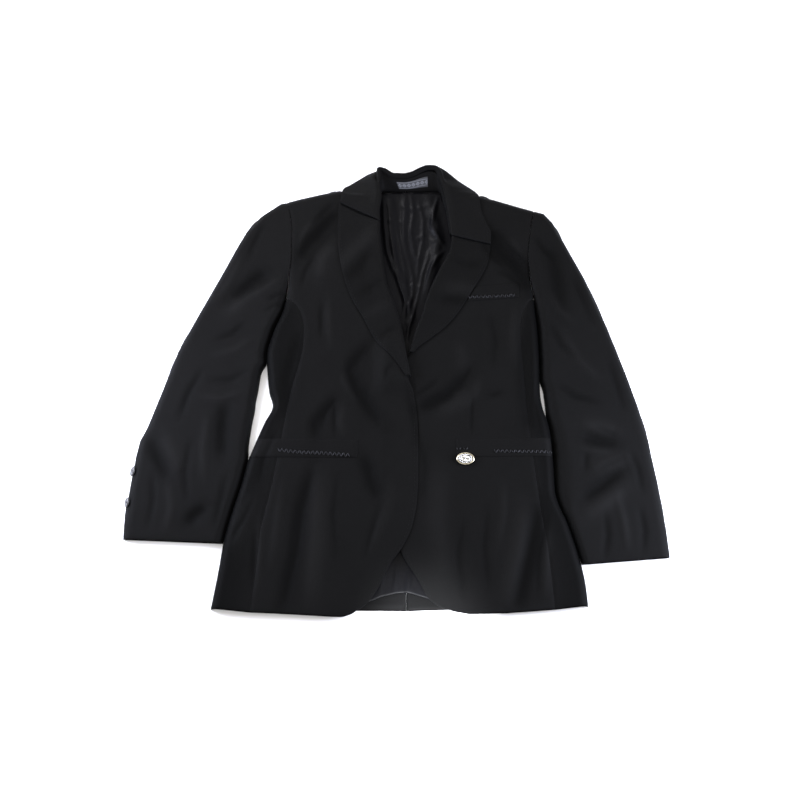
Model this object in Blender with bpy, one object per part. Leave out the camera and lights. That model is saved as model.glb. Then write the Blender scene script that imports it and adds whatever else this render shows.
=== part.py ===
"""A women's blazer, laid flat on its back with the sleeves beside the body.

Lengths are in millimetres until a mesh is made. X runs to the viewer's right, Y to the collar and Z up,
with the floor at zero. Right and left are the wearer's, so the right front is at the viewer's left, and it
lies over the left one. Every piece of cloth is a wall: a grid of points on its outer face, and the same
grid moved inwards by the thickness of the cloth.
"""

import math

import bpy
import numpy as np

MM = 0.001

# Thickness of the cloths
CLOTH = 1.8
LAPEL_CLOTH = 1.6
TRIM_CLOTH = 1.3
BACK_CLOTH = 1.5
LINING_CLOTH = 1.1

# Room between two pieces
SEAM = 0.5
SLEEVE_SEAM = 0.8
SLIP = 1.0
LAYER_SLIP = 0.4

# Widths of the edges that roll down to the floor, and the widest share of a strip that one may take
SIDE_ROLL = 13.0
CROWN_ROLL = 14.0
ROLL_STEPS = 4
ROLL_LIMIT = 0.42

# Points across and along the panels
SKIRT_ROWS = 22
CHEST_ROWS = 7
FRONT_COLUMNS = 13
SIDE_CELLS = 3
SLEEVE_CELLS = 6
LAPEL_ROWS = 20
COLLAR_SECTIONS = 32

# Places along the garment
HEM_Y = -318.0
UNDERARM_Y = 160.0
CROWN_Y = {-1: 328.0, 1: 313.0}
CUFF_Y = {-1: (-222.0, -216.0), 1: (-253.0, -243.0)}
SLEEVE_TIP = {-1: (-191.0, 326.0), 1: (229.0, 309.0)}
BACK_SEAM_X = 9.0
BREAK_Y = {-1: 31.0, 1: 72.0}
GORGE_Y = {-1: 286.0, 1: 261.0}

# The front's edge is tucked behind the lapel's roll, from this far below the break
LAPEL_TUCK = 4.4
TUCK_LEAD = 24.0
TUCK_RUN = 20.0

# How fast the bend of a panel's end dies out along it
END_BEND = 4


def table(names, *rows):
    """A table with named columns, one row for each section."""
    return np.rec.array([tuple(float(value) for value in row) for row in rows], names=names)


# Edge of the body in plan. Above the underarm it is the armhole
BODY_EDGE = {
    -1: table("y, x", (-318, -273), (-268, -265), (-217, -258), (-179, -249), (-126, -234), (-99, -228),
              (-77, -220), (-39, -205), (-11, -193), (11, -199), (44, -203), (66, -205), (104, -197),
              (147, -180), (172, -175), (198, -172), (237, -170), (266, -170), (299, -173), (328, -182)),
    1: table("y, x", (-318, 272), (-281, 269), (-240, 261), (-212, 253), (-187, 245), (-172, 238),
             (-143, 230), (-102, 229), (-60, 227), (-33, 222), (-14, 216), (11, 213), (63, 214),
             (104, 213), (147, 209), (172, 206), (198, 202), (230, 200), (250, 202), (290, 208), (313, 214)),
}

# Seam between the front and the side panel, which runs into the armhole
SIDE_SEAM = {
    -1: table("y, x", (-318, -214), (-283, -211), (-210, -204), (-130, -188), (-60, -176), (18, -163),
              (51, -154), (84, -148), (109, -147), (137, -152), (160, -171)),
    1: table("y, x", (-318, 222), (-240, 216), (-170, 206), (-100, 198), (-25, 191), (50, 187),
             (109, 184), (137, 188), (160, 201)),
}

# White gap between the sleeve and the body
SLEEVE_GAP = {
    -1: table("y, gap", (-260, 0), (-98, 0), (-77, 7), (-39, 18), (-11, 26), (11, 17), (44, 8), (58, 0),
              (330, 0)),
    1: table("y, gap", (-260, 0.8), (-215, 0.2), (-34, 0), (-14, 4), (11, 5), (24, 3), (34, 0), (330, 0)),
}

# Outer edge of the sleeve, from the cuff to the shoulder
SLEEVE_EDGE = {
    -1: table("y, x", (-216, -406), (-193, -406), (-139, -401), (-90, -395), (-68, -391), (-46, -381),
              (5, -364), (76, -341), (129, -316), (196, -283), (251, -257), (278, -243), (304, -221),
              (326, -191)),
    1: table("y, x", (-243, 394), (-200, 391), (-131, 383), (-91, 376.5), (-65, 373), (-14, 361), (37, 346),
             (115, 320.5), (196, 289.5), (251, 263), (292, 243.5), (309, 229)),
}

# Width of the sleeve's inner roll, wide and slack on the left arm
SLEEVE_ROLL = {
    -1: table("y, width", (-222, 12), (-120, 13), (0, 12), (120, 12), (330, 12)),
    1: table("y, width", (-252, 9), (-193, 10), (-176, 13), (-153, 24), (-123, 29), (-91, 27), (-55, 23),
             (-27, 19), (16, 17), (56, 14), (330, 12)),
}

# Line where the shoulder turns to the back, from the armhole to the neck
SHOULDER = {
    -1: table("x, y", (-182, 328), (-159, 335), (-127, 343), (-96, 350), (-78, 344), (-34, 343)),
    1: table("x, y", (70, 343), (104, 341), (124, 341), (151, 333), (191, 320), (214, 313)),
}

# Front edge, cut away at the hem, then the line where the lapel turns over
FRONT_EDGE = {
    -1: table("y, x", (-326, -70), (-311, -48), (-291, -33), (-267, -21), (-250, -12), (-231, 2), (-196, 18),
              (-158, 25), (-113, 27), (-66, 27), (-35, 26), (5, 21), (30, 17), (71, 9), (92, 6), (121, 0),
              (155, -10), (182, -20), (212, -25), (244, -29), (270, -32), (305, -32), (343, -29)),
    1: table("y, x", (-326, 99), (-321, 72), (-311, 50), (-298, 37), (-282, 29), (-267, 20), (-250, 9),
             (-231, 0), (-200, -6), (-150, -10), (-100, -12), (0, -12), (30, -9), (50, 1), (79, 15),
             (115, 27), (127, 32), (155, 40), (180, 49), (211, 64), (227, 73), (243, 79), (256, 81),
             (273, 78), (296, 76), (317, 73), (343, 68)),
}

# Hem of each front, from left to right, and how far the hem drops or rises along the side panel
FRONT_HEM = {
    -1: table("x, y", (-214, -324), (-165, -326), (-129, -328), (-85, -330), (-70, -326)),
    1: table("x, y", (99, -326), (144, -325), (222, -320)),
}
SIDE_HEM = {-1: (-318.0, -324.0), 1: (-314.0, -320.0)}

# Free edge of each lapel, from the break to the notch
LAPEL_EDGE = {
    -1: table("y, x", (20, 15), (33, 8), (65, -14), (87, -35), (128, -57), (158, -74), (193, -87),
              (229, -95), (270, -99), (300, -99), (315, -98)),
    1: table("y, x", (34, -4), (55, 9), (79, 27), (96, 49), (115, 72), (135, 89), (155, 102), (173, 113),
             (193, 126), (215, 137), (240, 142)),
}

# Gorge seam, from the roll line to the tip of the lapel
LAPEL_TOP = {
    -1: table("x, y", (-31, 285), (-64, 297), (-98, 315)),
    1: table("x, y", (80, 260), (112, 250), (133, 241), (142, 239)),
}

# Height of the flat cloth over the floor, in the middle and at the sides
HEIGHT = table("y, middle, side", (-330, 11, 14), (-200, 12, 16), (-60, 12.5, 18), (0, 12.5, 19),
               (60, 13.5, 20), (120, 15.5, 21), (200, 18.5, 22), (300, 20.5, 21), (350, 20.5, 20))
HEIGHT_MIDDLE_X = 8.0
HEIGHT_SIDE_X = 200.0
ARM_BLEND = 45.0
VALLEY_TOP = (112.0, 212.0)
SLEEVE_HEIGHT = table("y, height", (-260, 14), (-120, 16), (60, 18), (200, 20), (330, 21))

# Rises of the right front where it lies over the left front, and over the left lapel
LIFT = table("height, x, x_run, y, y_run, end, end_run",
             (CLOTH + SLIP, -50, 32, -400, 1, 60, 40), (5.0, -45, 30, 2, 26, 82, 34))

# Height of the lapel's and collar's roll over the cloth below
ROLL_HEIGHT = table("y, height", (15, 4.6), (60, 4.8), (100, 5.4), (150, 6.0), (400, 6.5))

# Folds in the body: depth (ridges are positive), half width, and the points that the fold runs through
BODY_FOLDS = (
    (-3.0, 9.0, (-43, 89), (-66, 60), (-76, 43), (-64, 15), (-48, -11), (-24, -49)),
    (-2.5, 9.0, (-59, -89), (-47, -111), (-41, -132), (-29, -159)),
    (-3.5, 9.0, (-128, -107), (-144, -174), (-151, -239), (-170, -325)),
    (2.5, 10.0, (-118, -115), (-121, -219), (-128, -325)),
    (2.0, 11.0, (-212, -150), (-228, -189), (-240, -235)),
    (-2.5, 9.0, (-153, 95), (-167, 27), (-168, -30)),
    (-4.5, 11.0, (-96, 306), (-126, 264), (-141, 248), (-157, 224)),
    (2.5, 10.0, (-100, 250), (-118, 225), (-124, 190)),
    (-2.5, 8.0, (-97, 0), (-126, -42), (-125, -67)),
    (-4.0, 9.0, (100, 36), (85, 15), (72, 2), (51, -8), (28, -18)),
    (2.5, 10.0, (102, 16), (84, -8), (58, -24)),
    (-3.0, 9.0, (189, 100), (191, 8), (192, -25), (186, -55)),
    (-3.5, 10.0, (205, -160), (198, -192), (185, -244), (166, -322)),
    (2.5, 10.0, (180, -165), (168, -240), (146, -320)),
    (-5.0, 11.0, (140, 275), (152, 255), (163, 238), (180, 222), (194, 200), (201, 170)),
    (2.0, 12.0, (60, -110), (52, -190), (62, -270)),
)

# Folds in the two sleeves, in the same form
SLEEVE_FOLDS = {
    -1: (
        (-4.0, 11.0, (-206, 202), (-231, 178), (-258, 155)),
        (3.0, 11.0, (-212, 182), (-235, 160), (-262, 132)),
        (-3.0, 10.0, (-262, -10), (-263, -50), (-262, -95)),
        (-3.0, 10.0, (-283, -170), (-312, -196)),
        (-2.5, 9.0, (-372, -66), (-358, -95), (-340, -128)),
        (2.0, 10.0, (-352, -60), (-338, -84), (-322, -118)),
    ),
    1: (
        (2.5, 9.0, (268, -40), (292, -46), (322, -54)),
        (-2.5, 8.0, (270, -62), (295, -68), (325, -74)),
        (2.5, 9.0, (282, -116), (300, -108), (332, -96)),
        (-3.0, 9.0, (330, -112), (293, -139), (266, -160)),
        (2.5, 10.0, (330, -140), (296, -166), (266, -184)),
        (-2.0, 10.0, (236, 250), (244, 190), (248, 130)),
    ),
}

# Ridges of the slack lining that shows in the neck
LINING_FOLDS = (
    (3.5, 6.0, (-18, 344), (-14, 281), (-8, 227), (3, 196), (11, 162), (17, 132), (9, 99)),
    (2.5, 6.0, (8, 342), (6, 265), (13, 225)),
    (3.5, 8.0, (46, 338), (60, 265), (50, 205), (37, 162)),
    (-1.2, 6.0, (-4, 340), (-2, 260), (10, 200)),
    (-1.2, 7.0, (28, 330), (34, 250), (26, 170)),
)

# The collar: its roll edge, and its free edge behind the neck and on the shoulders
COLLAR_ROLL = table("x, y, z", (-31, 288, 27), (-32, 305, 27), (-29, 333, 27), (-31, 352, 28),
                    (-33, 366, 29), (-32, 376, 30), (-23, 376, 29), (-10, 370, 26), (6, 370, 25),
                    (19, 373, 25), (32, 379, 27), (44, 383, 28), (57, 381, 30), (64, 371, 29),
                    (66, 358, 28), (69, 340, 27), (73, 317, 27), (76, 296, 27), (78, 275, 27), (80, 263, 27))
COLLAR_EDGE = table("x, y, z", (-95, 321, 23), (-93, 331, 24), (-92, 341, 22), (-89, 350, 17),
                    (-80, 358, 12), (-66, 367, 9), (-50, 376, 7), (-36, 378, 4), (-22, 372, 2.4),
                    (-6, 369, 2.4), (10, 369, 2.4), (28, 373, 2.4), (46, 380, 2.4), (66, 383, 4),
                    (86, 375, 8), (104, 361, 11), (119, 346, 15), (125, 334, 21.5), (128, 309, 23),
                    (135, 288, 23), (143, 268, 23), (142, 250, 23))
STAND_SEAM = table("x, y, z", (-28.5, 350.5, 5.2), (-10, 350, 4.6), (6, 349.5, 4.6), (22, 350, 4.6),
                   (38, 350.5, 4.6), (64, 350.5, 5.2))
STAND_TOP = table("x, y", (-29, 369), (-22, 370), (-10, 366), (6, 366), (19, 369), (32, 374), (44, 377),
                  (54, 375.6), (57, 373.5))
COLLAR_BULGE = 2.5
COLLAR_PROFILE = table("beside_out, beside_drop, behind_out, behind_drop",
                       (0.8, 8.0, -4.8, 5.4), (0.0, 3.4, -2.8, 2.5),
                       (0.8, 1.0, -0.8, 0.5), (3.0, 0.0, 1.3, 0.4), (6.0, -0.4, 3.1, 2.0),
                       (10.0, -0.5, 4.4, 5.0))
FALL_SHARES = (0.2, 0.42, 0.7, 1.0)

# Room under the collar, more of it where the shoulder turns, and where the collar hangs past the shoulder
COLLAR_ROOM = (SLIP + 0.8, 1.4)
SHOULDER_START = 300.0
SHOULDER_RUN = 24.0
FLOOR_START = 344.0
COLLAR_LIP = 5.5

# Trims on the fronts: the corners' x at the side and front ends, the top and the bottom
FLAP = {-1: (-63.0, -67.0, -94.5), 1: (84.0, -65.0, -93.0)}
WELT = table("x, top, bottom", (103, 178, 155), (140, 181, 157), (184, 185, 160))
BEZEL_CENTRE = (97.0, -97.0)
BEZEL_SIZE = (27.0, 18.5, 2.6)
BUTTON_RADIUS = 7.5
BUTTON_HEIGHT = 2.8
BUTTON_Y = (-115.0, -162.0)
LABEL_SHARES = (5 / 16, 14 / 16)
LABEL_THICKNESS = 0.6

# Edge of the lining in the hem opening, over the cloth hem of the back
HEM_LINING_LOW = table("x, y", (-80, -312), (-46, -307), (-23, -299), (6, -294), (35, -301), (65, -311),
                       (100, -314))
HEM_LINING_TOP_Y = -205.0
HEM_SLACK = 0.5
HEM_RIPPLE = 13.0
BACK_HEM_Y = {-1: -317.0, 0: -320.5, 1: -312.0}
NECK_Y = 356.0

# Shares across the back and the lining, gathered at the corners of the neck
BACK_SHARES = {-1: (0, 0.17, 0.34, 0.5, 0.64, 0.74, 0.785, 0.82, 0.87, 0.93, 1),
               1: (0, 0.09, 0.18, 0.25, 0.285, 0.32, 0.37, 0.5, 0.66, 0.83, 1)}
NECK_CORNER = {-1: ((-62, 334), (-37, 334), (-29, 351), (-24, 355)),
               1: ((58, 355), (64.5, 352), (66.5, 337), (76, 337))}
LINING_SHARES = (0, 0.06, 0.115, 0.165, 0.25, 0.35, 0.45, 0.55, 0.65, 0.74, 0.8, 0.85, 0.92, 1)
LINING_NECK = ((-36, 334), (-28, 347), (20, 348.5), (64, 347), (67, 334))
LINING_REACH = 22.0
LINING_LEVEL = BACK_CLOTH + LAYER_SLIP + LINING_CLOTH

BLACK_CLOTH = ((0.012, 0.012, 0.014, 1.0), 0.82, 0.0)
BLACK_SATIN = ((0.016, 0.016, 0.022, 1.0), 0.35, 0.0)
DARK_PLASTIC = ((0.03, 0.03, 0.034, 1.0), 0.35, 0.0)
PALE_METAL = ((0.80, 0.70, 0.48, 1.0), 0.30, 1.0)
DARK_TAPE = ((0.05, 0.05, 0.06, 1.0), 0.55, 0.0)


def eased(xs, ys, at):
    """Monotone cubic curve through (xs, ys), read at `at`; it holds its end values outside them."""
    xs, ys, at = np.asarray(xs, float), np.asarray(ys, float), np.asarray(at, float)
    step = np.diff(xs)
    slope = np.diff(ys) / step
    tangent = np.concatenate([slope[:1], np.zeros(len(xs) - 2), slope[-1:]])
    before, after = slope[:-1], slope[1:]
    turning = before * after > 0
    near, far = 2 * step[1:] + step[:-1], step[1:] + 2 * step[:-1]
    safe_before, safe_after = np.where(turning, before, 1.0), np.where(turning, after, 1.0)
    tangent[1:-1] = np.where(turning, (near + far) / (near / safe_before + far / safe_after), 0.0)
    cell = np.clip(np.searchsorted(xs, at) - 1, 0, len(xs) - 2)
    t = np.clip((at - xs[cell]) / step[cell], 0.0, 1.0)
    start = (1 + 2 * t) * (1 - t) ** 2 * ys[cell] + t * (1 - t) ** 2 * step[cell] * tangent[cell]
    return start + t * t * (3 - 2 * t) * ys[cell + 1] + t * t * (t - 1) * step[cell] * tangent[cell + 1]


def smooth(x):
    """Rises from 0 to 1 with level ends while x goes from 0 to 1."""
    x = np.clip(x, 0.0, 1.0)
    return x * x * (3 - 2 * x)


def quarter(x):
    """Quarter circle: 0 at the edge, where it stands upright, and 1 from x = 1 on."""
    return np.sqrt(1 - (1 - np.clip(x, 0.0, 1.0)) ** 2)


def along(curve, shares):
    """Points on the smooth curve through the rows of a table, at shares 0 to 1 of its length."""
    points = np.stack([curve[name] for name in curve.dtype.names], -1)
    lengths = np.concatenate([[0.0], np.cumsum(np.linalg.norm(np.diff(points, axis=0), axis=1))])
    return np.stack([eased(lengths / lengths[-1], column, shares) for column in points.T], -1)


def nearest(x, y, line):
    """Distance of each (x, y) from a line through points, and how far along the line that is, 0 to 1."""
    line = np.asarray(line, float)
    start, run = line[:-1], np.diff(line, axis=0)
    length = np.linalg.norm(run, axis=1)
    point = np.stack([x, y], -1)[..., None, :]
    t = np.clip(((point - start) * run).sum(-1) / length ** 2, 0.0, 1.0)
    gap = np.linalg.norm(point - (start + t[..., None] * run), axis=-1)
    best = gap.argmin(-1)[..., None]
    share = (np.concatenate([[0.0], np.cumsum(length)[:-1]]) + t * length) / length.sum()
    return np.take_along_axis(gap, best, -1)[..., 0], np.take_along_axis(share, best, -1)[..., 0]


def folds(x, y, rows):
    """Height that the folds add: a bell across each fold, which fades out at its two ends."""
    total = np.zeros(np.broadcast(x, y).shape)
    for depth, half_width, *points in rows:
        gap, share = nearest(x, y, points)
        fade = np.sqrt(np.sin(math.pi * np.clip(share, 0.02, 0.98)))
        total += depth * np.exp(-(gap / half_width) ** 2) * fade
    return total


def edge_x(side, y):
    """The body's edge, and above the underarm the armhole, at height y in the plan."""
    return eased(BODY_EDGE[side].y, BODY_EDGE[side].x, y)


def front_x(side, y):
    """The front edge and, above the break, the line that the lapel turns on."""
    return eased(FRONT_EDGE[side].y, FRONT_EDGE[side].x, y)


def crown_line(side):
    """The rolled outline from the cuff up the sleeve, round the shoulder and on to the neck."""
    sleeve = [(x, y) for y, x in SLEEVE_EDGE[side]]
    shoulder = [(x, y) for x, y in SHOULDER[side]]
    return sleeve + shoulder if side < 0 else sleeve + shoulder[::-1]


def valley_share(y):
    """How much of its height the cloth keeps at the body's edge: none below the armhole, all above."""
    return smooth((np.asarray(y, float) - VALLEY_TOP[0]) / (VALLEY_TOP[1] - VALLEY_TOP[0]))


def plateau(x, y):
    """Height of the body's cloth away from its rolled edges, without folds."""
    spread = np.clip(np.abs(x - HEIGHT_MIDDLE_X) / (HEIGHT_SIDE_X - HEIGHT_MIDDLE_X), 0.0, 1.0) ** 1.5
    middle, side = eased(HEIGHT.y, HEIGHT.middle, y), eased(HEIGHT.y, HEIGHT.side, y)
    return middle + (side - middle) * spread


def bed(x, y):
    """Height of the body's outer face: the plateau with its folds, rolled down at the sides and crown."""
    x, y = np.broadcast_arrays(np.asarray(x, float), np.asarray(y, float))
    side = np.where(x < HEIGHT_MIDDLE_X, -1, 1)
    flat = plateau(x, y) + folds(x, y, BODY_FOLDS)
    height = np.zeros(x.shape)
    for which in (-1, 1):
        to_side = np.abs(x - edge_x(which, y))
        keep = valley_share(y)
        rolled = flat * (keep + (1 - keep) * quarter(to_side / SIDE_ROLL))
        rolled = rolled * quarter(nearest(x, y, crown_line(which))[0] / CROWN_ROLL)
        height = np.where(side == which, rolled, height)
    return height


def overlap_lift(x, y):
    """How far the right front is raised where it lies on the left front, and on the left lapel."""
    total = 0.0
    for row in LIFT:
        rise = smooth((x - row.x) / row.x_run) * smooth((y - row.y) / row.y_run)
        total = total + row.height * rise * (1 - smooth((y - row.end) / row.end_run))
    return total


def surface(side, x, y):
    """Outer face of a front: the left one is the bed, the right one is lifted over it."""
    return bed(x, y) + (overlap_lift(x, y) if side < 0 else 0.0)


def normals(points):
    """Unit normals of a grid of points, turned to face up on the whole."""
    across, up = np.gradient(points, axis=1), np.gradient(points, axis=0)
    normal = np.cross(across, up)
    normal /= np.maximum(np.linalg.norm(normal, axis=-1, keepdims=True), 1e-9)
    return normal if normal[..., 2].mean() > 0 else -normal


def inward(points, thickness):
    """The inner face of a wall. At a border where the cloth lies flat no point moves past it in the plan."""
    normal = normals(points)
    move = -thickness * normal
    sources = ((points, normal, move), (points.swapaxes(0, 1), normal.swapaxes(0, 1), move.swapaxes(0, 1)))
    for source, tilt, shift in sources:
        for line, second in ((0, 1), (-1, -2)):
            out = source[line] - source[second]
            out[:, 2] = 0.0
            out /= np.maximum(np.linalg.norm(out, axis=-1, keepdims=True), 1e-9)
            past = np.clip((shift[line] * out).sum(-1, keepdims=True), 0.0, None)
            shift[line] -= np.where(tilt[line][:, 2:] > 0.5, past, 0.0) * out
    inner = points + move
    inner[..., 2] = np.maximum(inner[..., 2], 0.0)
    return inner


def finish_material(name, finish):
    """A plain surface with the piece's colour, roughness and metallic value."""
    colour, roughness, metallic = finish
    material = bpy.data.materials.new(name)
    material.use_nodes = True
    shader = material.node_tree.nodes["Principled BSDF"]
    shader.inputs["Base Color"].default_value = colour
    shader.inputs["Roughness"].default_value = roughness
    shader.inputs["Metallic"].default_value = metallic
    return material


def add_solid(name, points, faces, finish):
    """One closed object from points in millimetres."""
    mesh = bpy.data.meshes.new(name)
    mesh.from_pydata((np.asarray(points).reshape(-1, 3) * MM).tolist(), [], [list(face) for face in faces])
    mesh.materials.append(finish_material(name, finish))
    mesh.validate()
    mesh.shade_smooth()
    solid = bpy.data.objects.new(name, mesh)
    bpy.context.scene.collection.objects.link(solid)
    return solid


def split_cells(points, corners):
    """Two triangles for every four-cornered cell, cut along the shorter of its diagonals."""
    a, b, c, d = corners.T
    short = np.linalg.norm(points[a] - points[c], axis=-1) <= np.linalg.norm(points[b] - points[d], axis=-1)
    one = np.where(short[:, None], np.stack([a, b, c], -1), np.stack([a, b, d], -1))
    two = np.where(short[:, None], np.stack([a, c, d], -1), np.stack([b, c, d], -1))
    return np.concatenate([one, two])


def add_wall(name, outer, inner, finish):
    """A closed wall between two grids of points of the same size."""
    rows, cols = outer.shape[:2]
    index = np.arange(rows * cols).reshape(rows, cols)
    points = np.concatenate([outer.reshape(-1, 3), inner.reshape(-1, 3)])
    corners = np.stack([index[:-1, :-1], index[:-1, 1:], index[1:, 1:], index[1:, :-1]], -1).reshape(-1, 4)
    cells = split_cells(points, corners)
    ring = np.concatenate([index[0, :-1], index[:-1, -1], index[-1, :0:-1], index[:0:-1, 0]])
    under = ring + rows * cols
    rim = split_cells(points, np.stack([ring, under, np.roll(under, -1), np.roll(ring, -1)], -1))
    faces = np.concatenate([cells, cells[:, ::-1] + rows * cols, rim])
    row, col = rows // 2, cols // 2
    across, up = outer[row, col] - outer[row, col - 1], outer[row, col] - outer[row - 1, col]
    if np.cross(across, up)[2] < 0:
        faces = faces[:, ::-1]
    return add_solid(name, points, faces, finish)


def add_cloth(name, outer, thickness, finish):
    """A wall of cloth whose outer face is the grid `outer`."""
    return add_wall(name, outer, inward(outer, thickness), finish)


def add_slab(name, plan, low, high, finish):
    """A flat wall over a grid of plan points, between two heights."""
    outer = np.concatenate([plan, np.full(plan.shape[:2] + (1,), high)], -1)
    inner = np.concatenate([plan, np.full(plan.shape[:2] + (1,), low)], -1)
    return add_wall(name, outer, inner, finish)


def roll_steps(width):
    """Distances from a rolled edge, a step for every equal turn of the quarter circle."""
    turn = np.linspace(0.0, math.pi / 2, ROLL_STEPS + 1)
    return width * (1 - np.cos(turn))


def shares_between(width, start_roll, end_roll, cells):
    """Shares 0 to 1 across a strip: fine steps on the rolled ends and even ones between them."""
    widest = ROLL_LIMIT * width
    start = roll_steps(min(start_roll, widest)) / width if start_roll else np.zeros(1)
    end = 1 - roll_steps(min(end_roll, widest))[::-1] / width if end_roll else np.ones(1)
    return np.concatenate([start[:-1], np.linspace(start[-1], end[0], cells + 1), end[1:]])


def body_rows(side):
    """Heights in the plan of the rows that the body's panels and the sleeve share at the body's edge."""
    skirt = np.linspace(HEM_Y, UNDERARM_Y, SKIRT_ROWS)
    chest = np.linspace(UNDERARM_Y, CROWN_Y[side] - CROWN_ROLL, CHEST_ROWS)
    crown = CROWN_Y[side] - roll_steps(CROWN_ROLL)[::-1]
    return np.concatenate([skirt, chest[1:], crown[1:]])


def blend_patch(left, right, shares, bottom=None, top=None):
    """Plan points of a four-sided panel.

    Each row runs straight from left to right, and the bottom and top curves bend the rows near them.
    """
    count = shares.shape[0]
    plan = left[:, None] * (1 - shares[..., None]) + right[:, None] * shares[..., None]
    climb = np.linspace(0.0, 1.0, count)[:, None, None]
    for curve, row, weight in ((bottom, 0, (1 - climb) ** END_BEND), (top, -1, climb ** END_BEND)):
        if curve is not None:
            plan = plan + weight * (along(curve, shares[row]) - plan[row])
    return plan


def front_panel(side):
    """A front, from the side seam and the armhole to the front edge and the roll line of the lapel."""
    y = body_rows(side)
    outer_x = np.where(y <= UNDERARM_Y, eased(SIDE_SEAM[side].y, SIDE_SEAM[side].x, y), edge_x(side, y))
    outer = np.stack([outer_x - side * SEAM / 2, y], -1)
    share = (y - y[0]) / (y[-1] - y[0])
    inner_y = FRONT_EDGE[side].y[0] + share * (FRONT_EDGE[side].y[-1] - FRONT_EDGE[side].y[0])
    tuck = LAPEL_TUCK * smooth((inner_y - BREAK_Y[side] + TUCK_LEAD) / TUCK_RUN)
    inner = np.stack([front_x(side, inner_y) + side * tuck, inner_y], -1)
    shares = np.repeat(np.linspace(0.0, 1.0, FRONT_COLUMNS)[None], len(y), axis=0)
    if side < 0:
        plan = blend_patch(outer, inner, shares, FRONT_HEM[side], SHOULDER[side])
    else:
        plan = blend_patch(inner, outer, shares, FRONT_HEM[side], SHOULDER[side])
    height = surface(side, plan[..., 0], plan[..., 1])
    height[-1] = 0.0
    return np.concatenate([plan, height[..., None]], -1)


def side_panel(side):
    """The strip under the arm, which rolls from the side seam down to the floor."""
    y = body_rows(side)
    y = y[y <= UNDERARM_Y + 0.1]
    foot = np.stack([edge_x(side, y), y], -1)
    seam = np.stack([eased(SIDE_SEAM[side].y, SIDE_SEAM[side].x, y) + side * SEAM / 2, y], -1)
    widths = np.abs(seam[:, 0] - foot[:, 0])
    shares = np.stack([shares_between(width, SIDE_ROLL, 0.0, SIDE_CELLS) for width in widths])
    fade = (1 - np.linspace(0.0, 1.0, len(body_rows(side)))[:len(y)]) ** END_BEND
    foot[:, 1] += (SIDE_HEM[side][0] - HEM_Y) * fade
    foot[:, 0] = edge_x(side, foot[:, 1])
    seam[:, 1] += (SIDE_HEM[side][1] - HEM_Y) * fade
    plan = foot[:, None] * (1 - shares[..., None]) + seam[:, None] * shares[..., None]
    height = bed(plan[..., 0], plan[..., 1])
    height[:, 0] = plateau(plan[:, 0, 0], y) * valley_share(y)
    return np.concatenate([plan, height[..., None]], -1)


def sleeve_inner(side, y):
    """The sleeve's inner edge: beside the body, and sewn to the armhole above it."""
    gap = SLEEVE_SEAM + eased(SLEEVE_GAP[side].y, SLEEVE_GAP[side].gap, y)
    return edge_x(side, y) + side * gap


def upper_sleeve(side):
    """The upper half of a sleeve, rolled to the floor on both sides, and sewn to the front above the arm."""
    cuff_inner, cuff_outer = CUFF_Y[side]
    y = body_rows(side)
    y = np.concatenate([[cuff_inner], y[y > cuff_inner + 8.0]])
    share = (y - y[0]) / (y[-1] - y[0])
    tip_x, tip_y = SLEEVE_TIP[side]
    outer_y = cuff_outer + share * (tip_y - cuff_outer)
    outer = np.stack([eased(SLEEVE_EDGE[side].y, SLEEVE_EDGE[side].x, outer_y), outer_y], -1)
    inner = np.stack([sleeve_inner(side, y), y], -1)
    widths = np.linalg.norm(outer - inner, axis=-1)
    inner_rolls = eased(SLEEVE_ROLL[side].y, SLEEVE_ROLL[side].width, y)
    pairs = zip(widths, inner_rolls)
    shares = np.stack([shares_between(width, SIDE_ROLL, roll, SLEEVE_CELLS) for width, roll in pairs])
    plan = outer[:, None] * (1 - shares[..., None]) + inner[:, None] * shares[..., None]
    x, plan_y = plan[..., 0], plan[..., 1]
    from_body = np.abs(x - inner[:, :1])
    arm = eased(SLEEVE_HEIGHT.y, SLEEVE_HEIGHT.height, plan_y)
    own = smooth(from_body / ARM_BLEND)
    flat = plateau(edge_x(side, plan_y), plan_y) * (1 - own) + arm * own
    flat = flat + folds(x, plan_y, SLEEVE_FOLDS[side])
    keep = valley_share(plan_y)
    height = flat * (keep + (1 - keep) * quarter(from_body / inner_rolls[:, None]))
    height = height * quarter(nearest(x, plan_y, crown_line(side))[0] / CROWN_ROLL)
    height[:, 0] = 0.0
    height[-1] = 0.0
    return np.concatenate([plan, height[..., None]], -1)


def under_sleeve(side, upper):
    """Plan of the half of the sleeve that lies on the floor, inside the feet of the upper half."""
    inset = CLOTH + SLIP
    outer, inner = upper[:, 0, :2], upper[:, -1, :2]
    run = inner - outer
    run /= np.linalg.norm(run, axis=-1, keepdims=True)
    slope = np.gradient(outer, axis=0)
    lean = np.abs(slope[:, 1]) / np.linalg.norm(slope, axis=-1)
    start = outer + run * (inset / np.maximum(lean, 0.35))[:, None]
    end = inner - run * inset
    plan = np.stack([start, (start + end) / 2, end], 1)
    return plan[:-5]


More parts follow.
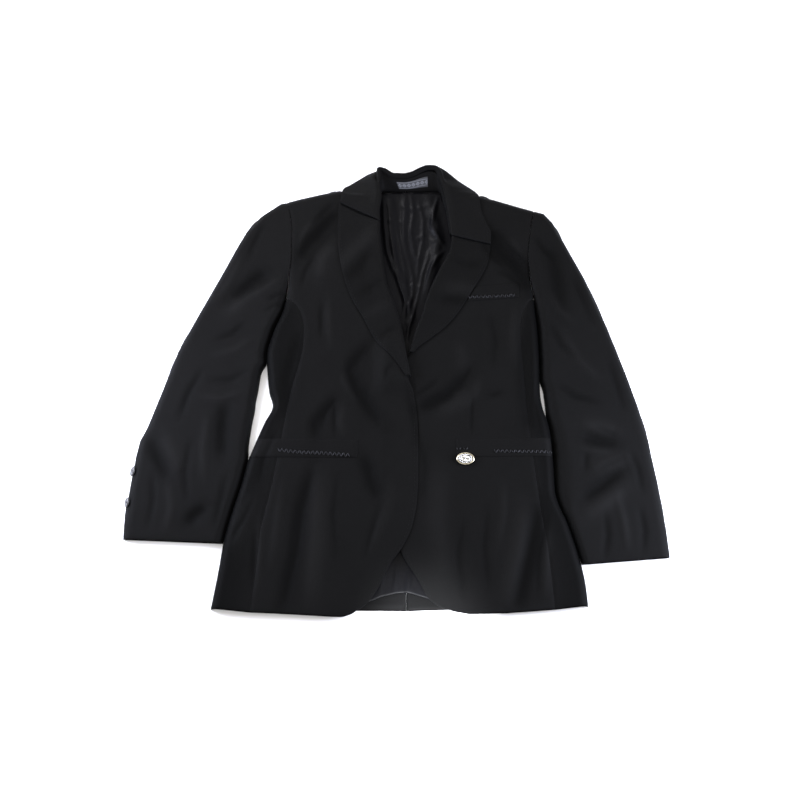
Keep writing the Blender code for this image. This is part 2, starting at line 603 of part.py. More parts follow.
def back_panel(side):
    """Plan of half the back, flat on the floor inside the feet of the side panel and the shoulder."""
    inset = CLOTH + SLIP
    y = body_rows(side)[:-2]
    y[-1] = CROWN_Y[side] - inset - 4.0
    reach = np.where(y > UNDERARM_Y + 20.0, SLEEVE_SEAM / 2, inset)
    y[0] = BACK_HEM_Y[side]
    outer = np.stack([edge_x(side, y) - side * reach, y], -1)
    centre_y = BACK_HEM_Y[0] + (y - y[0]) / (y[-1] - y[0]) * (NECK_Y - BACK_HEM_Y[0])
    centre = np.stack([np.full(len(y), BACK_SEAM_X + side * SEAM / 2), centre_y], -1)
    shares = np.repeat(np.array(BACK_SHARES[side])[None], len(y), axis=0)
    crown = [(x, line_y - inset - 2.5) for x, line_y in SHOULDER[side]][1:-1]
    if side < 0:
        top = table("x, y", tuple(outer[-1]), *crown, *NECK_CORNER[side], tuple(centre[-1]))
        return blend_patch(outer, centre, shares, None, top)
    top = table("x, y", tuple(centre[-1]), *NECK_CORNER[side], *crown, tuple(outer[-1]))
    return blend_patch(centre, outer, shares, None, top)


def neck_lining():
    """Slack satin on the back, seen in the neck opening between the two rolls."""
    y = np.linspace(46.0, 332.0, 17)
    left = np.stack([front_x(-1, y) - LINING_REACH, y], -1)
    right = np.stack([front_x(1, y) + LINING_REACH, y], -1)
    top = table("x, y", (left[-1, 0], 330), *LINING_NECK, (right[-1, 0], 330))
    plan = blend_patch(left, right, np.repeat(np.array(LINING_SHARES)[None], len(y), axis=0), None, top)
    slack = np.maximum(folds(plan[..., 0], plan[..., 1], LINING_FOLDS), 0.0)
    return np.concatenate([plan, (LINING_LEVEL + slack)[..., None]], -1)


def lapel(side):
    """A lapel: it comes up inside the neck opening, turns over at the roll line and lies on the front."""
    y = np.linspace(BREAK_Y[side], GORGE_Y[side], LAPEL_ROWS)
    free_y = BREAK_Y[side] + (y - y[0]) / (y[-1] - y[0]) * (LAPEL_EDGE[side].y[-1] - BREAK_Y[side])
    roll = np.stack([front_x(side, y), y], -1)
    free = np.stack([eased(LAPEL_EDGE[side].y, LAPEL_EDGE[side].x, free_y), free_y], -1)
    width = np.linalg.norm(free - roll, axis=-1)
    turn = np.minimum(3.0, 0.3 * width)
    steps = np.stack([0.25 * turn, 0.0 * turn, 0.3 * turn, turn], -1)
    rest = turn[:, None] + (width - turn)[:, None] * np.linspace(0.0, 1.0, 6)[None, 1:]
    out = np.concatenate([steps, rest], -1)
    shares = out / width[:, None]
    plan = roll[:, None] * (1 - shares[..., None]) + free[:, None] * shares[..., None]
    climb = np.linspace(0.0, 1.0, len(y))[:, None, None]
    plan = plan + climb ** END_BEND * (along(LAPEL_TOP[side], np.clip(shares[-1], 0, 1)) - plan[-1])
    base = surface(side, plan[..., 0], plan[..., 1])
    high = eased(ROLL_HEIGHT.y, ROLL_HEIGHT.height, y)[:, None]
    low = SLIP + LAPEL_CLOTH + 0.1
    settle = smooth(out / np.minimum(38.0, 0.8 * width)[:, None])
    height = base + high * (1 - settle) + low * settle
    start = surface(side, plan[:, 3, 0], plan[:, 3, 1])[:, None]
    lip = np.array([-0.35, 0.45, 0.80, 1.0])[None]
    height[:, :4] = start + high * lip
    return np.concatenate([plan, height[..., None]], -1)


def collar_fall():
    """The turned part of the collar: a short lip inside the neck, the roll edge, and the fall outside.

    Each section runs through the places of COLLAR_PROFILE round the roll edge, given beside the neck and
    behind it, and then on to the free edge.
    """
    shares = np.linspace(0.0, 1.0, COLLAR_SECTIONS)
    roll, free = along(COLLAR_ROLL, shares), along(COLLAR_EDGE, shares)
    behind = smooth((roll[:, 1:2] - 346.0) / 20.0)
    tangent = np.gradient(roll[:, :2], axis=0)
    tangent /= np.linalg.norm(tangent, axis=-1, keepdims=True)
    square = np.stack([-tangent[:, 1], tangent[:, 0]], -1)
    outward = (free - roll)[:, :2] / np.linalg.norm((free - roll)[:, :2], axis=-1, keepdims=True)
    across = outward * (1 - behind) + square * behind
    grid = []
    for beside_out, beside_drop, behind_out, behind_drop in COLLAR_PROFILE:
        out = beside_out * (1 - behind) + behind_out * behind
        drop = beside_drop * (1 - behind) + behind_drop * behind
        grid.append(np.concatenate([roll[:, :2] + across * out, roll[:, 2:] - drop], -1))
    start = grid[-1]
    for share in FALL_SHARES:
        plan = start[:, :2] * (1 - share) + free[:, :2] * share
        plan = plan + across * COLLAR_BULGE * behind * math.sin(math.pi * share)
        straight = start[:, 2] * (1 - share) + free[:, 2] * share
        room = COLLAR_ROOM[0] + COLLAR_ROOM[1] * smooth((plan[:, 1] - SHOULDER_START) / SHOULDER_RUN)
        rest = np.where(plan[:, 1] > FLOOR_START, 0.0, bed(plan[:, 0], plan[:, 1]) + LAPEL_CLOTH + room)
        grid.append(np.concatenate([plan, np.maximum(straight, rest)[:, None]], -1))
    return np.stack(grid, 1)


def collar_stand(shares, climbs):
    """Points on the upright part of the collar, from the neck seam up to just below the lip of the fall."""
    low, top = along(STAND_SEAM, shares), along(STAND_TOP, shares)
    roll = eased(COLLAR_ROLL.x[5:13], COLLAR_ROLL.z[5:13], top[:, 0])
    high = np.concatenate([top, roll[:, None] - COLLAR_LIP - 1.0], -1)
    climb = np.asarray(climbs, float)[None, :, None]
    grid = low[:, None] * (1 - climb) + high[:, None] * climb
    grid[..., 1] -= 1.5 * np.sin(math.pi * climb[..., 0])
    return grid


def flap(side):
    """A pocket flap that lies on the front and the side panel and follows them round the side."""
    front_end, top, bottom = FLAP[side]
    y = np.linspace(bottom, top, 4)
    edge = edge_x(side, y)
    turned = roll_steps(SIDE_ROLL)[2:]
    flat = np.linspace(0.0, 1.0, 12)[1:]
    start = edge[:, None] - side * turned[None]
    rest = start[:, -1:] * (1 - flat[None]) + front_end * flat[None]
    x = np.concatenate([start, rest], 1)
    return np.stack([x, np.repeat(y[:, None], x.shape[1], axis=1)], -1)


def chest_welt():
    """The narrow upright trim of the chest pocket, which starts at the edge of the lapel."""
    share = np.linspace(0.0, 1.0, 7)
    row = along(WELT, share)
    climb = np.linspace(0.0, 1.0, 4)[:, None]
    y = row[None, :, 2] * (1 - climb) + row[None, :, 1] * climb
    start = eased(LAPEL_EDGE[1].y, LAPEL_EDGE[1].x, y[:, 0]) + 2.0
    x = start[:, None] * (1 - share[None]) + WELT.x[-1] * share[None]
    return np.stack([x, y], -1)


def add_lying(name, side, plan, thickness, finish):
    """A wall that lies on the front's outer face, moved out from it along its normals."""
    skin = np.concatenate([plan, surface(side, plan[..., 0], plan[..., 1])[..., None]], -1)
    out = normals(skin)
    return add_wall(name, skin + out * (SLIP + thickness), skin + out * SLIP, finish)


def add_disc(name, centre, normal, radii, height, dome, finish, sides=20):
    """A low domed disc: rings of points round an axis, each ring nearer to the middle and higher."""
    normal = np.asarray(normal, float) / np.linalg.norm(normal)
    side_axis = np.cross([0.0, 1.0, 0.0], normal)
    side_axis /= np.linalg.norm(side_axis)
    up_axis = np.cross(normal, side_axis)
    turn = np.arange(sides) * 2 * math.pi / sides
    ring = np.cos(turn)[:, None] * side_axis * radii[0] + np.sin(turn)[:, None] * up_axis * radii[1]
    levels = ((1.0, 0.0), (1.0, height * 0.55), (0.86, height * 0.9), (0.5, height + dome * 0.75),
              (0.2, height + dome))
    points = np.concatenate([centre + ring * size + normal * rise for size, rise in levels])
    faces = [list(range(sides))[::-1], list(range(sides * 4, sides * 5))]
    for level in range(len(levels) - 1):
        for step in range(sides):
            after = (step + 1) % sides
            base = level * sides
            faces.append([base + step, base + after, base + after + sides, base + step + sides])
    return add_solid(name, points, faces, finish)


def add_cuff_button(number, y, sleeve):
    """A sewn button on the outer roll of the right sleeve, square to the cloth."""
    column = sleeve[:, 2]
    normal = normals(sleeve)[:, 2]
    foot = np.array([np.interp(y, column[:, 1], column[:, axis]) for axis in range(3)])
    out = np.array([np.interp(y, column[:, 1], normal[:, axis]) for axis in range(3)])
    out /= np.linalg.norm(out)
    add_disc(f"cuff_button_right_{number}", foot + out * SLIP, out, (BUTTON_RADIUS, BUTTON_RADIUS),
             BUTTON_HEIGHT, 0.2, DARK_PLASTIC)


def add_bezel():
    """The plain oval ornament pinned on the end of the left flap."""
    x, y = BEZEL_CENTRE
    sample_x = x + np.linspace(-11.0, 11.0, 7)
    sample_y = y + np.linspace(-9.0, 9.0, 5)
    rest = surface(1, *np.meshgrid(sample_x, sample_y)).max() + SLIP + TRIM_CLOTH + LAYER_SLIP
    wide, tall, high = BEZEL_SIZE
    add_disc("oval_ornament", np.array([x, y, rest]), (0.0, 0.0, 1.0), (wide / 2, tall / 2), high, 0.6,
             PALE_METAL, sides=28)


def add_label():
    """A small woven label sewn inside the neck, on the face of the collar's stand."""
    skin = collar_stand(np.linspace(*LABEL_SHARES, 7), (1 / 3, 0.5, 2 / 3))
    out = normals(skin)
    add_wall("neck_label", skin + out * (SLIP + LABEL_THICKNESS), skin + out * SLIP, DARK_TAPE)


def hem_lining():
    """Lining on the back, seen in the opening between the two cutaway fronts."""
    shares = np.linspace(0.0, 1.0, 13)
    low = along(HEM_LINING_LOW, shares)
    top = np.stack([low[:, 0] * 0.9, np.full(13, HEM_LINING_TOP_Y)], -1)
    climb = np.linspace(0.0, 1.0, 7)[:, None, None]
    plan = low[None] * (1 - climb) + top[None] * climb
    slack = HEM_SLACK * np.sin(plan[..., 0] / HEM_RIPPLE) ** 2 * smooth(climb[..., 0] * 2)
    return np.concatenate([plan, (LINING_LEVEL + slack)[..., None]], -1)


def build():
    """Builds every piece of the blazer."""
    for old in list(bpy.data.objects):
        bpy.data.objects.remove(old, do_unlink=True)
    names = {-1: "right", 1: "left"}
    for side, word in names.items():
        add_cloth(f"front_{word}", front_panel(side), CLOTH, BLACK_CLOTH)
        add_cloth(f"side_panel_{word}", side_panel(side), CLOTH, BLACK_CLOTH)
        sleeve = upper_sleeve(side)
        add_cloth(f"upper_sleeve_{word}", sleeve, CLOTH, BLACK_CLOTH)
        add_slab(f"under_sleeve_{word}", under_sleeve(side, sleeve), 0.0, BACK_CLOTH, BLACK_CLOTH)
        add_slab(f"back_{word}", back_panel(side), 0.0, BACK_CLOTH, BLACK_CLOTH)
        add_cloth(f"lapel_{word}", lapel(side), LAPEL_CLOTH, BLACK_CLOTH)
        add_lying(f"pocket_flap_{word}", side, flap(side), TRIM_CLOTH, BLACK_CLOTH)
        if side < 0:
            for number, y in enumerate(BUTTON_Y, start=1):
                add_cuff_button(number, y, sleeve)
    add_lying("chest_welt", 1, chest_welt(), TRIM_CLOTH, BLACK_CLOTH)
    add_cloth("back_lining_neck", neck_lining(), LINING_CLOTH, BLACK_SATIN)
    add_cloth("back_lining_hem", hem_lining(), LINING_CLOTH, BLACK_SATIN)
    add_cloth("collar_fall", collar_fall(), LAPEL_CLOTH, BLACK_CLOTH)
    stand = collar_stand(np.linspace(0.0, 1.0, 17), np.linspace(0.0, 1.0, 4))
    add_cloth("collar_stand", stand, LAPEL_CLOTH, BLACK_CLOTH)
    add_label()
    add_bezel()


build()
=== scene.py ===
"""Looks of a women's blazer that lies flat on its back, with the sleeves beside the body.

Lengths are in millimetres until a mesh is made. X runs to the viewer's right, Y to the collar and Z up, with
the floor at zero. Right and left are the wearer's: the right front is at the viewer's left and lies on top.
Every piece of cloth is a grid of points on its outer face, worked out from the garment's form, and a wall of
the cloth's thickness under it.
"""

import logging
import math
from dataclasses import dataclass, field
from enum import Enum
from typing import Any, Sequence

import bpy
import numpy as np
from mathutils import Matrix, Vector


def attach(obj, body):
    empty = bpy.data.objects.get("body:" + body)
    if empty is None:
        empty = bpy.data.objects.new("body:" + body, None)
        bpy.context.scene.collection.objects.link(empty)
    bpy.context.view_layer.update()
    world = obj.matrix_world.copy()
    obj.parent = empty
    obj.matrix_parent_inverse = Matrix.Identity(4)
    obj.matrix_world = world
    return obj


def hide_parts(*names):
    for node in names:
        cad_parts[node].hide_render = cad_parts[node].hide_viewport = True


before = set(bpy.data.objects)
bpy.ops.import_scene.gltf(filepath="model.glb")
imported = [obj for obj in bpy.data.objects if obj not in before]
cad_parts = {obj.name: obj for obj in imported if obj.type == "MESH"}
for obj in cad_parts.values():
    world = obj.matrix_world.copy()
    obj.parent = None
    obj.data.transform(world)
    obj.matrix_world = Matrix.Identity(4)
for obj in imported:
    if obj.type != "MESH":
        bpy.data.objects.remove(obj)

Array = np.ndarray
Points = Sequence[tuple[float, ...]]
Pair = tuple[float, float]
Triple = tuple[float, float, float]

MM = 0.001
LOG = logging.getLogger("blazer")

# Part of a fold's line near each end where it no longer fades
FOLD_END = 0.02

# How much the finer creases are deepened, and how much wider than the folds and creases their painted shade spreads
CREASE_GAIN = 1.6
FOLD_SHADE = 1.3
CREASE_SHADE = 1.2

# Greatest part of a piece's width that a rolled edge takes
ROLL_LIMIT = 0.42

# Distances from a border at which a grid has its finest rows, for the garment's cloth and for its trims
EDGE_ROWS = (0.8, 2.4)
TRIM_ROWS = (0.8,)

# Depth of the ripple of the cloth that lies on the floor, and its room under the cloth's full thickness
RIPPLE = 0.12
RIPPLE_ROOM = 0.15


class Side(Enum):
    """A side of the wearer. The value is the side of the picture that it lies on."""

    RIGHT = -1
    LEFT = 1

    @property
    def word(self) -> str:
        """The side's name as the frame's nodes have it."""
        return self.name.lower()


class Border(Enum):
    """How a border of a piece of cloth ends: the depth that it turns down, and the width of that turn."""

    SEWN = (0.75, 2.4)
    TURNED = (0.55, 1.3)


ALL_TURNED = {name: Border.TURNED for name in ("bottom", "end", "top", "start")}


def eased(xs: Sequence[float], ys: Sequence[float], at: Any) -> Array:
    """Reads a monotone cubic curve, which holds its end values outside its own range.

    Each inner point's slope is the weighted harmonic mean of the slopes beside it, and zero at a turn.

    Args:
        xs: Rising places of the curve's points.
        ys: Values there.
        at: Places to read.

    Returns:
        The values at those places.
    """
    xs, ys, at = np.asarray(xs, float), np.asarray(ys, float), np.asarray(at, float)
    step = np.diff(xs)
    slope = np.diff(ys) / step
    tangent = np.concatenate([slope[:1], np.zeros(len(xs) - 2), slope[-1:]])
    before, after = slope[:-1], slope[1:]
    turning = before * after > 0
    near, far = 2 * step[1:] + step[:-1], step[1:] + 2 * step[:-1]
    safe_before, safe_after = np.where(turning, before, 1.0), np.where(turning, after, 1.0)
    tangent[1:-1] = np.where(turning, (near + far) / (near / safe_before + far / safe_after), 0.0)
    cell = np.clip(np.searchsorted(xs, at) - 1, 0, len(xs) - 2)
    t = np.clip((at - xs[cell]) / step[cell], 0.0, 1.0)
    start = (1 + 2 * t) * (1 - t) ** 2 * ys[cell] + t * (1 - t) ** 2 * step[cell] * tangent[cell]
    return start + t * t * (3 - 2 * t) * ys[cell + 1] + t * t * (t - 1) * step[cell] * tangent[cell + 1]


def smooth(x: Any) -> Array:
    """Rises from 0 to 1 with level ends: three x squared less two x cubed."""
    x = np.clip(x, 0.0, 1.0)
    return x * x * (3 - 2 * x)


def rise(value: Any, start: float, width: float) -> Array:
    """Rises smoothly from 0 to 1 over a width from its start."""
    return smooth((np.asarray(value, float) - start) / width)


def quarter(x: Any) -> Array:
    """Quarter circle: the root of one less the square of one less x, upright at 0 and level from 1 on."""
    return np.sqrt(1 - (1 - np.clip(x, 0.0, 1.0)) ** 2)


def unit(vectors: Array) -> Array:
    """The same vectors with length one."""
    return vectors / np.maximum(np.linalg.norm(vectors, axis=-1, keepdims=True), 1e-9)


def ratio(values: Array) -> Array:
    """Share of the way from the first value to the last."""
    return (values - values[0]) / (values[-1] - values[0])


def between(low: Array, high: Array, shares: Array) -> Array:
    """Grid of points at shares of the way from each point of one line to the same point of another."""
    return low[:, None] * (1 - shares[..., None]) + high[:, None] * shares[..., None]


def raise_plan(plan: Array, height: Array) -> Array:
    """Plan points with their heights."""
    return np.concatenate([plan, height[..., None]], -1)


def places(grid: Array) -> tuple[Array, Array]:
    """Places across and up of a grid's points."""
    return grid[..., 0], grid[..., 1]


def run_lengths(line: Any) -> Array:
    """Length along a line of points from its first point to each."""
    return np.concatenate([[0.0], np.cumsum(np.linalg.norm(np.diff(np.asarray(line, float), axis=0), axis=1))])


def read_line(at: Array, lengths: Array, line: Array) -> Array:
    """Points of a line, read straight between its own at those lengths."""
    return np.stack([np.interp(at, lengths, line[:, axis]) for axis in range(3)], -1)


def roll_shares(roll: Any, width: Array, count: int) -> Array:
    """Shares of each row's width at even angles of the quarter turn in which it rolls down to the floor."""
    turn = 1 - np.cos(np.linspace(0.0, math.pi / 2, count))
    return (np.minimum(roll, ROLL_LIMIT * width) / width)[:, None] * turn[None]


def nearest(x: Array, y: Array, line: Points) -> tuple[Array, Array]:
    """Distance of each point of the plan from a line, and where along the line that is.

    Args:
        x: Places across.
        y: Places up, of the same shape.
        line: Points that the line runs through.

    Returns:
        The distances, and the shares 0 to 1 of the line's length.
    """
    corners = np.asarray(line, float)
    start, run = corners[:-1], np.diff(corners, axis=0)
    length = np.linalg.norm(run, axis=1)
    point = np.stack([x, y], -1)[..., None, :]
    t = np.clip(((point - start) * run).sum(-1) / length ** 2, 0.0, 1.0)
    gap = np.linalg.norm(point - (start + t[..., None] * run), axis=-1)
    best = gap.argmin(-1)[..., None]
    share = (run_lengths(corners)[:-1] + t * length) / length.sum()
    return np.take_along_axis(gap, best, -1)[..., 0], np.take_along_axis(share, best, -1)[..., 0]


@dataclass(frozen=True)
class Curve:
    """A smooth curve through rows of numbers."""

    rows: Points

    def value(self, at: Any, column: int = 1) -> Array:
        """Reads a column at places in the first one."""
        table = np.asarray(self.rows, float)
        return eased(table[:, 0], table[:, column], at)

    def along(self, shares: Any) -> Array:
        """Points on the curve at shares 0 to 1 of its length, one column for each of the rows' numbers."""
        table = np.asarray(self.rows, float)
        lengths = run_lengths(table)
        return np.stack([eased(lengths / lengths[-1], column, shares) for column in table.T], -1)

    @property
    def ends(self) -> Pair:
        """First and last number of the first column."""
        return self.rows[0][0], self.rows[-1][0]


def both(right: Points, left: Points) -> dict[Side, Curve]:
    """A curve for each side, from its rows."""
    return {Side.RIGHT: Curve(right), Side.LEFT: Curve(left)}


@dataclass(frozen=True)
class Fold:
    """A soft ridge, or a trough where its depth is negative, along a line through points of the plan."""

    depth: float
    half_width: float
    points: Points

    def height(self, x: Array, y: Array, spread: float) -> Array:
        """Height that the fold adds: a bell across it, widened by a spread, which fades out towards its ends."""
        gap, share = nearest(x, y, self.points)
        fade = np.sqrt(np.sin(math.pi * np.clip(share, FOLD_END, 1 - FOLD_END)))
        return self.depth * np.exp(-(gap / (self.half_width * spread)) ** 2) * fade


def folds(*rows: tuple[float, ...]) -> tuple[Fold, ...]:
    """Folds from rows of numbers: the depth, half the width, and the x and y of each point of the line."""
    return tuple(Fold(depth, half, tuple(zip(line[::2], line[1::2]))) for depth, half, *line in rows)


def folded(x: Array, y: Array, rows: Sequence[Fold], spread: float = 1.0) -> Array:
    """Sum of the heights that a set of folds adds, with their widths times a spread."""
    return sum((fold.height(x, y, spread) for fold in rows), np.zeros(np.broadcast(x, y).shape))


def draped(x: Array, y: Array, main: Sequence[Fold], creases: Sequence[Fold], shade: bool = False) -> Array:
    """Height of main folds and of the finer creases over them, a little wider where it serves the shade painted from
    them.
    """
    wide, fine = (FOLD_SHADE, CREASE_SHADE) if shade else (1.0, 1.0)
    return folded(x, y, main, wide) + CREASE_GAIN * folded(x, y, creases, fine)


# The body's outline in the plan, as (y, x). Above the underarm it is the armhole
BODY_EDGE = both(
    ((-318, -273), (-268, -265), (-217, -258), (-179, -249), (-126, -234), (-99, -228), (-77, -220), (-39, -205),
     (-11, -193), (11, -199), (44, -203), (66, -205), (104, -197), (147, -180), (172, -175), (198, -172),
     (237, -170), (266, -170), (299, -173), (328, -182)),
    ((-318, 272), (-281, 269), (-240, 261), (-212, 253), (-187, 245), (-172, 238), (-143, 230), (-102, 229),
     (-60, 227), (-33, 222), (-14, 216), (11, 213), (63, 214), (104, 213), (147, 209), (172, 206), (198, 202),
     (230, 200), (250, 202), (290, 208), (313, 214)))

# Seam between the front and the side panel
SIDE_SEAM = both(
    ((-318, -214), (-283, -211), (-210, -204), (-130, -188), (-60, -176), (18, -163), (51, -154), (84, -148),
     (109, -147), (137, -153), (151, -163), (160, -176.8)),
    ((-318, 222), (-240, 216), (-170, 206), (-100, 198), (-25, 191), (50, 187), (109, 184), (137, 189),
     (151, 197), (160, 207.2)))

# Gap between the sleeve and the body
SLEEVE_GAP = both(
    ((-260, 0), (-98, 0), (-77, 7), (-39, 18), (-11, 26), (11, 17), (44, 8), (58, 0), (330, 0)),
    ((-260, 0.4), (-215, 0), (-30, 0), (-14, 3.8), (8, 4.8), (19, 2.6), (28, 0), (330, 0)))

# Outer edge of the sleeve, from the cuff to the shoulder
SLEEVE_EDGE = both(
    ((-216, -406), (-193, -406), (-139, -401), (-90, -395), (-68, -391), (-46, -381), (5, -364), (76, -341),
     (129, -316), (196, -283), (251, -257), (278, -243), (304, -221), (326, -191)),
    ((-243, 394), (-200, 391), (-131, 383), (-91, 376.5), (-65, 373), (-14, 361), (37, 346), (115, 320.5),
     (196, 289.5), (251, 263), (292, 243.5), (309, 229)))

# Width of the sleeve's inner roll
SLEEVE_ROLL = both(
    ((-222, 12), (-120, 13), (0, 12), (120, 12), (330, 12)),
    ((-252, 9), (-193, 10), (-176, 13), (-153, 24), (-123, 29), (-91, 27), (-55, 23), (-27, 19), (16, 17),
     (56, 14), (330, 12)))

# Line where the shoulder turns to the back, as (x, y)
SHOULDER = both(
    ((-182, 328), (-159, 335), (-127, 343), (-96, 350), (-78, 344), (-34, 343)),
    ((70, 343), (104, 341), (124, 341), (151, 333), (191, 320), (214, 313)))

# Front edge, then the line where the lapel turns over, as (y, x)
FRONT_EDGE = both(
    ((-326, -70), (-311, -48), (-291, -33), (-267, -21), (-250, -12), (-231, 2), (-196, 18), (-158, 25),
     (-113, 27), (-66, 27), (-35, 26), (5, 21), (30, 17), (71, 9), (92, 6), (121, 0), (155, -10), (182, -20),
     (212, -25), (244, -29), (270, -32), (305, -32), (343, -29)),
    ((-326, 99), (-321, 72), (-311, 50), (-298, 37), (-282, 29), (-267, 20), (-250, 9), (-231, 0), (-200, -6),
     (-150, -10), (-100, -12), (0, -12), (30, -9), (50, 1), (79, 15), (115, 27), (127, 32), (155, 40), (180, 49),
     (211, 64), (227, 73), (243, 79), (256, 81), (273, 78), (296, 76), (317, 73), (343, 68)))

# Hem of the front, then the free edge of the lapel as (y, x) and its end at the gorge as (x, y)
FRONT_HEM = both(
    ((-214, -324), (-165, -326), (-129, -328), (-85, -330), (-70, -326)),
    ((99, -326), (144, -325), (222, -320)))
LAPEL_EDGE = both(
    ((20, 15), (33, 8), (65, -14), (87, -35), (128, -57), (158, -74), (193, -87), (229, -95), (270, -99),
     (300, -99), (315, -98)),
    ((34, -4), (55, 9), (79, 27), (96, 49), (115, 72), (135, 89), (155, 102), (173, 113), (193, 126), (215, 137),
     (240, 142)))
LAPEL_TOP = both(
    ((-31, 287), (-64, 301.5), (-96, 319.5)),
    ((80, 262), (112, 254.5), (133, 250), (142, 248)))

# Ends of the side panel's hem at its foot and at its seam, and the back's hem, as y
SIDE_HEM = {Side.RIGHT: (-318.0, -324.0), Side.LEFT: (-314.0, -320.0)}
BACK_HEM = {Side.RIGHT: -317.0, Side.LEFT: -312.0}

# Inner corners of the back's neck, as (x, y)
BACK_NECK = {Side.RIGHT: ((-62, 334), (-37, 334), (-29, 351), (-24, 355)),
             Side.LEFT: ((58, 357), (67, 356), (69.5, 346), (71, 338), (77, 337))}

# Ends of the cuff at the inner and the outer edge, and the sleeve's tip at the shoulder, as y
CUFF = {Side.RIGHT: (-222.0, -216.0), Side.LEFT: (-253.0, -243.0)}
SLEEVE_TIP = {Side.RIGHT: 326.0, Side.LEFT: 309.0}

# Lowest and highest y of the line where the lapel turns over
LAPEL_BREAK = {Side.RIGHT: (31.0, 286.0), Side.LEFT: (72.0, 261.0)}

# Front end, upper edge and lower edge of the pocket flap
FLAP = {Side.RIGHT: (-63.0, -67.0, -94.5), Side.LEFT: (84.0, -65.0, -93.0)}

# Main folds of the body, as the frame's solids have them
BODY_FOLDS = folds(
    (-3, 9, -43, 89, -66, 60, -76, 43, -64, 15, -48, -11, -24, -49),
    (-2.5, 9, -59, -89, -47, -111, -41, -132, -29, -159), (-3.5, 9, -128, -107, -144, -174, -151, -239, -170, -325),
    (2.5, 10, -118, -115, -121, -219, -128, -325), (2, 11, -212, -150, -228, -189, -240, -235),
    (-2.5, 9, -153, 95, -167, 27, -168, -30), (-4.5, 11, -96, 306, -126, 264, -141, 248, -157, 224),
    (2.5, 10, -100, 250, -118, 225, -124, 190), (-2.5, 8, -97, 0, -126, -42, -125, -67),
    (-4, 9, 100, 36, 85, 15, 72, 2, 51, -8, 28, -18), (2.5, 10, 102, 16, 84, -8, 58, -24),
    (-3, 9, 189, 100, 191, 8, 192, -25, 186, -55), (-3.5, 10, 205, -160, 198, -192, 185, -244, 166, -322),
    (2.5, 10, 180, -165, 168, -240, 146, -320),
    (-5, 11, 140, 275, 152, 255, 163, 238, 180, 222, 194, 200, 201, 170), (2, 12, 60, -110, 52, -190, 62, -270),
)

# Finer creases of the body
BODY_CREASES = folds(
    (-0.9, 4, -9, 53, -19, 42, -21, 27), (-0.9, 5, 9, 18, 15, -5, 21, -36, 24, -58, 21, -80),
    (0.8, 4.5, -86, 52, -84, 26, -66, -6), (-0.8, 4, -210, -205, -211, -240, -212, -285),
    (0.9, 5, -204, -190, -203, -235, -206, -300), (-0.9, 4.5, -215, -159, -228, -189, -244, -219),
    (-0.8, 4, -121, 150, -120, 95), (0.9, 5, -109, 165, -108, 120, -104, 80),
    (-1, 5, -104, 322, -128, 296, -142, 282), (0.8, 4.5, -130, 300, -150, 268, -158, 240),
    (-0.8, 4, -131, 232, -146, 205, -152, 178), (-0.9, 4.5, -97, -5, -110, -24, -118, -52),
    (0.9, 4.5, -84, -12, -88, -40, -82, -60), (-0.8, 4.5, -30, -168, -40, -205, -52, -248),
    (0.7, 6, -12, -130, -20, -180, -40, -230), (-0.8, 5, -92, -120, -98, -180, -92, -250),
    (0.8, 5.5, -172, -130, -178, -190, -186, -260), (-0.9, 4.5, 157, 8, 148, 5, 132, 2),
    (-0.8, 4.5, 112, 52, 101, 34, 92, 8), (0.9, 5, 122, 30, 112, 4, 94, -18), (-0.9, 4.5, 58, 30, 40, 14, 22, 2),
    (-0.9, 4.5, 216, -178, 208, -210, 200, -250, 196, -300), (0.8, 5, 214, -210, 210, -262, 208, -305),
    (-0.8, 5, 128, -170, 122, -230, 126, -290), (0.8, 5, 152, -132, 150, -180, 140, -230),
    (-1, 5, 128, 262, 136, 240, 150, 222, 166, 208), (0.9, 5, 172, 262, 186, 240, 192, 226),
    (-0.9, 4.5, 150, 205, 170, 196, 188, 176), (0.8, 5, 178, 150, 172, 100, 174, 50),
    (-0.8, 5, 140, 130, 146, 90, 142, 50), (0.7, 7, 90, 90, 96, 60, 88, 40), (-0.7, 5, 30, -60, 38, -110, 34, -160),
    (-0.8, 5, 92, -190, 84, -240, 90, -300), (-0.7, 4, -186, -60, -200, -92, -206, -128),
    (-0.7, 4, 206, 20, 204, -20, 208, -52), (-1, 3.2, 109, 4, 108, -30, 107, -58),
    (-1, 3.2, -98, -8, -98, -40, -97, -62),
)

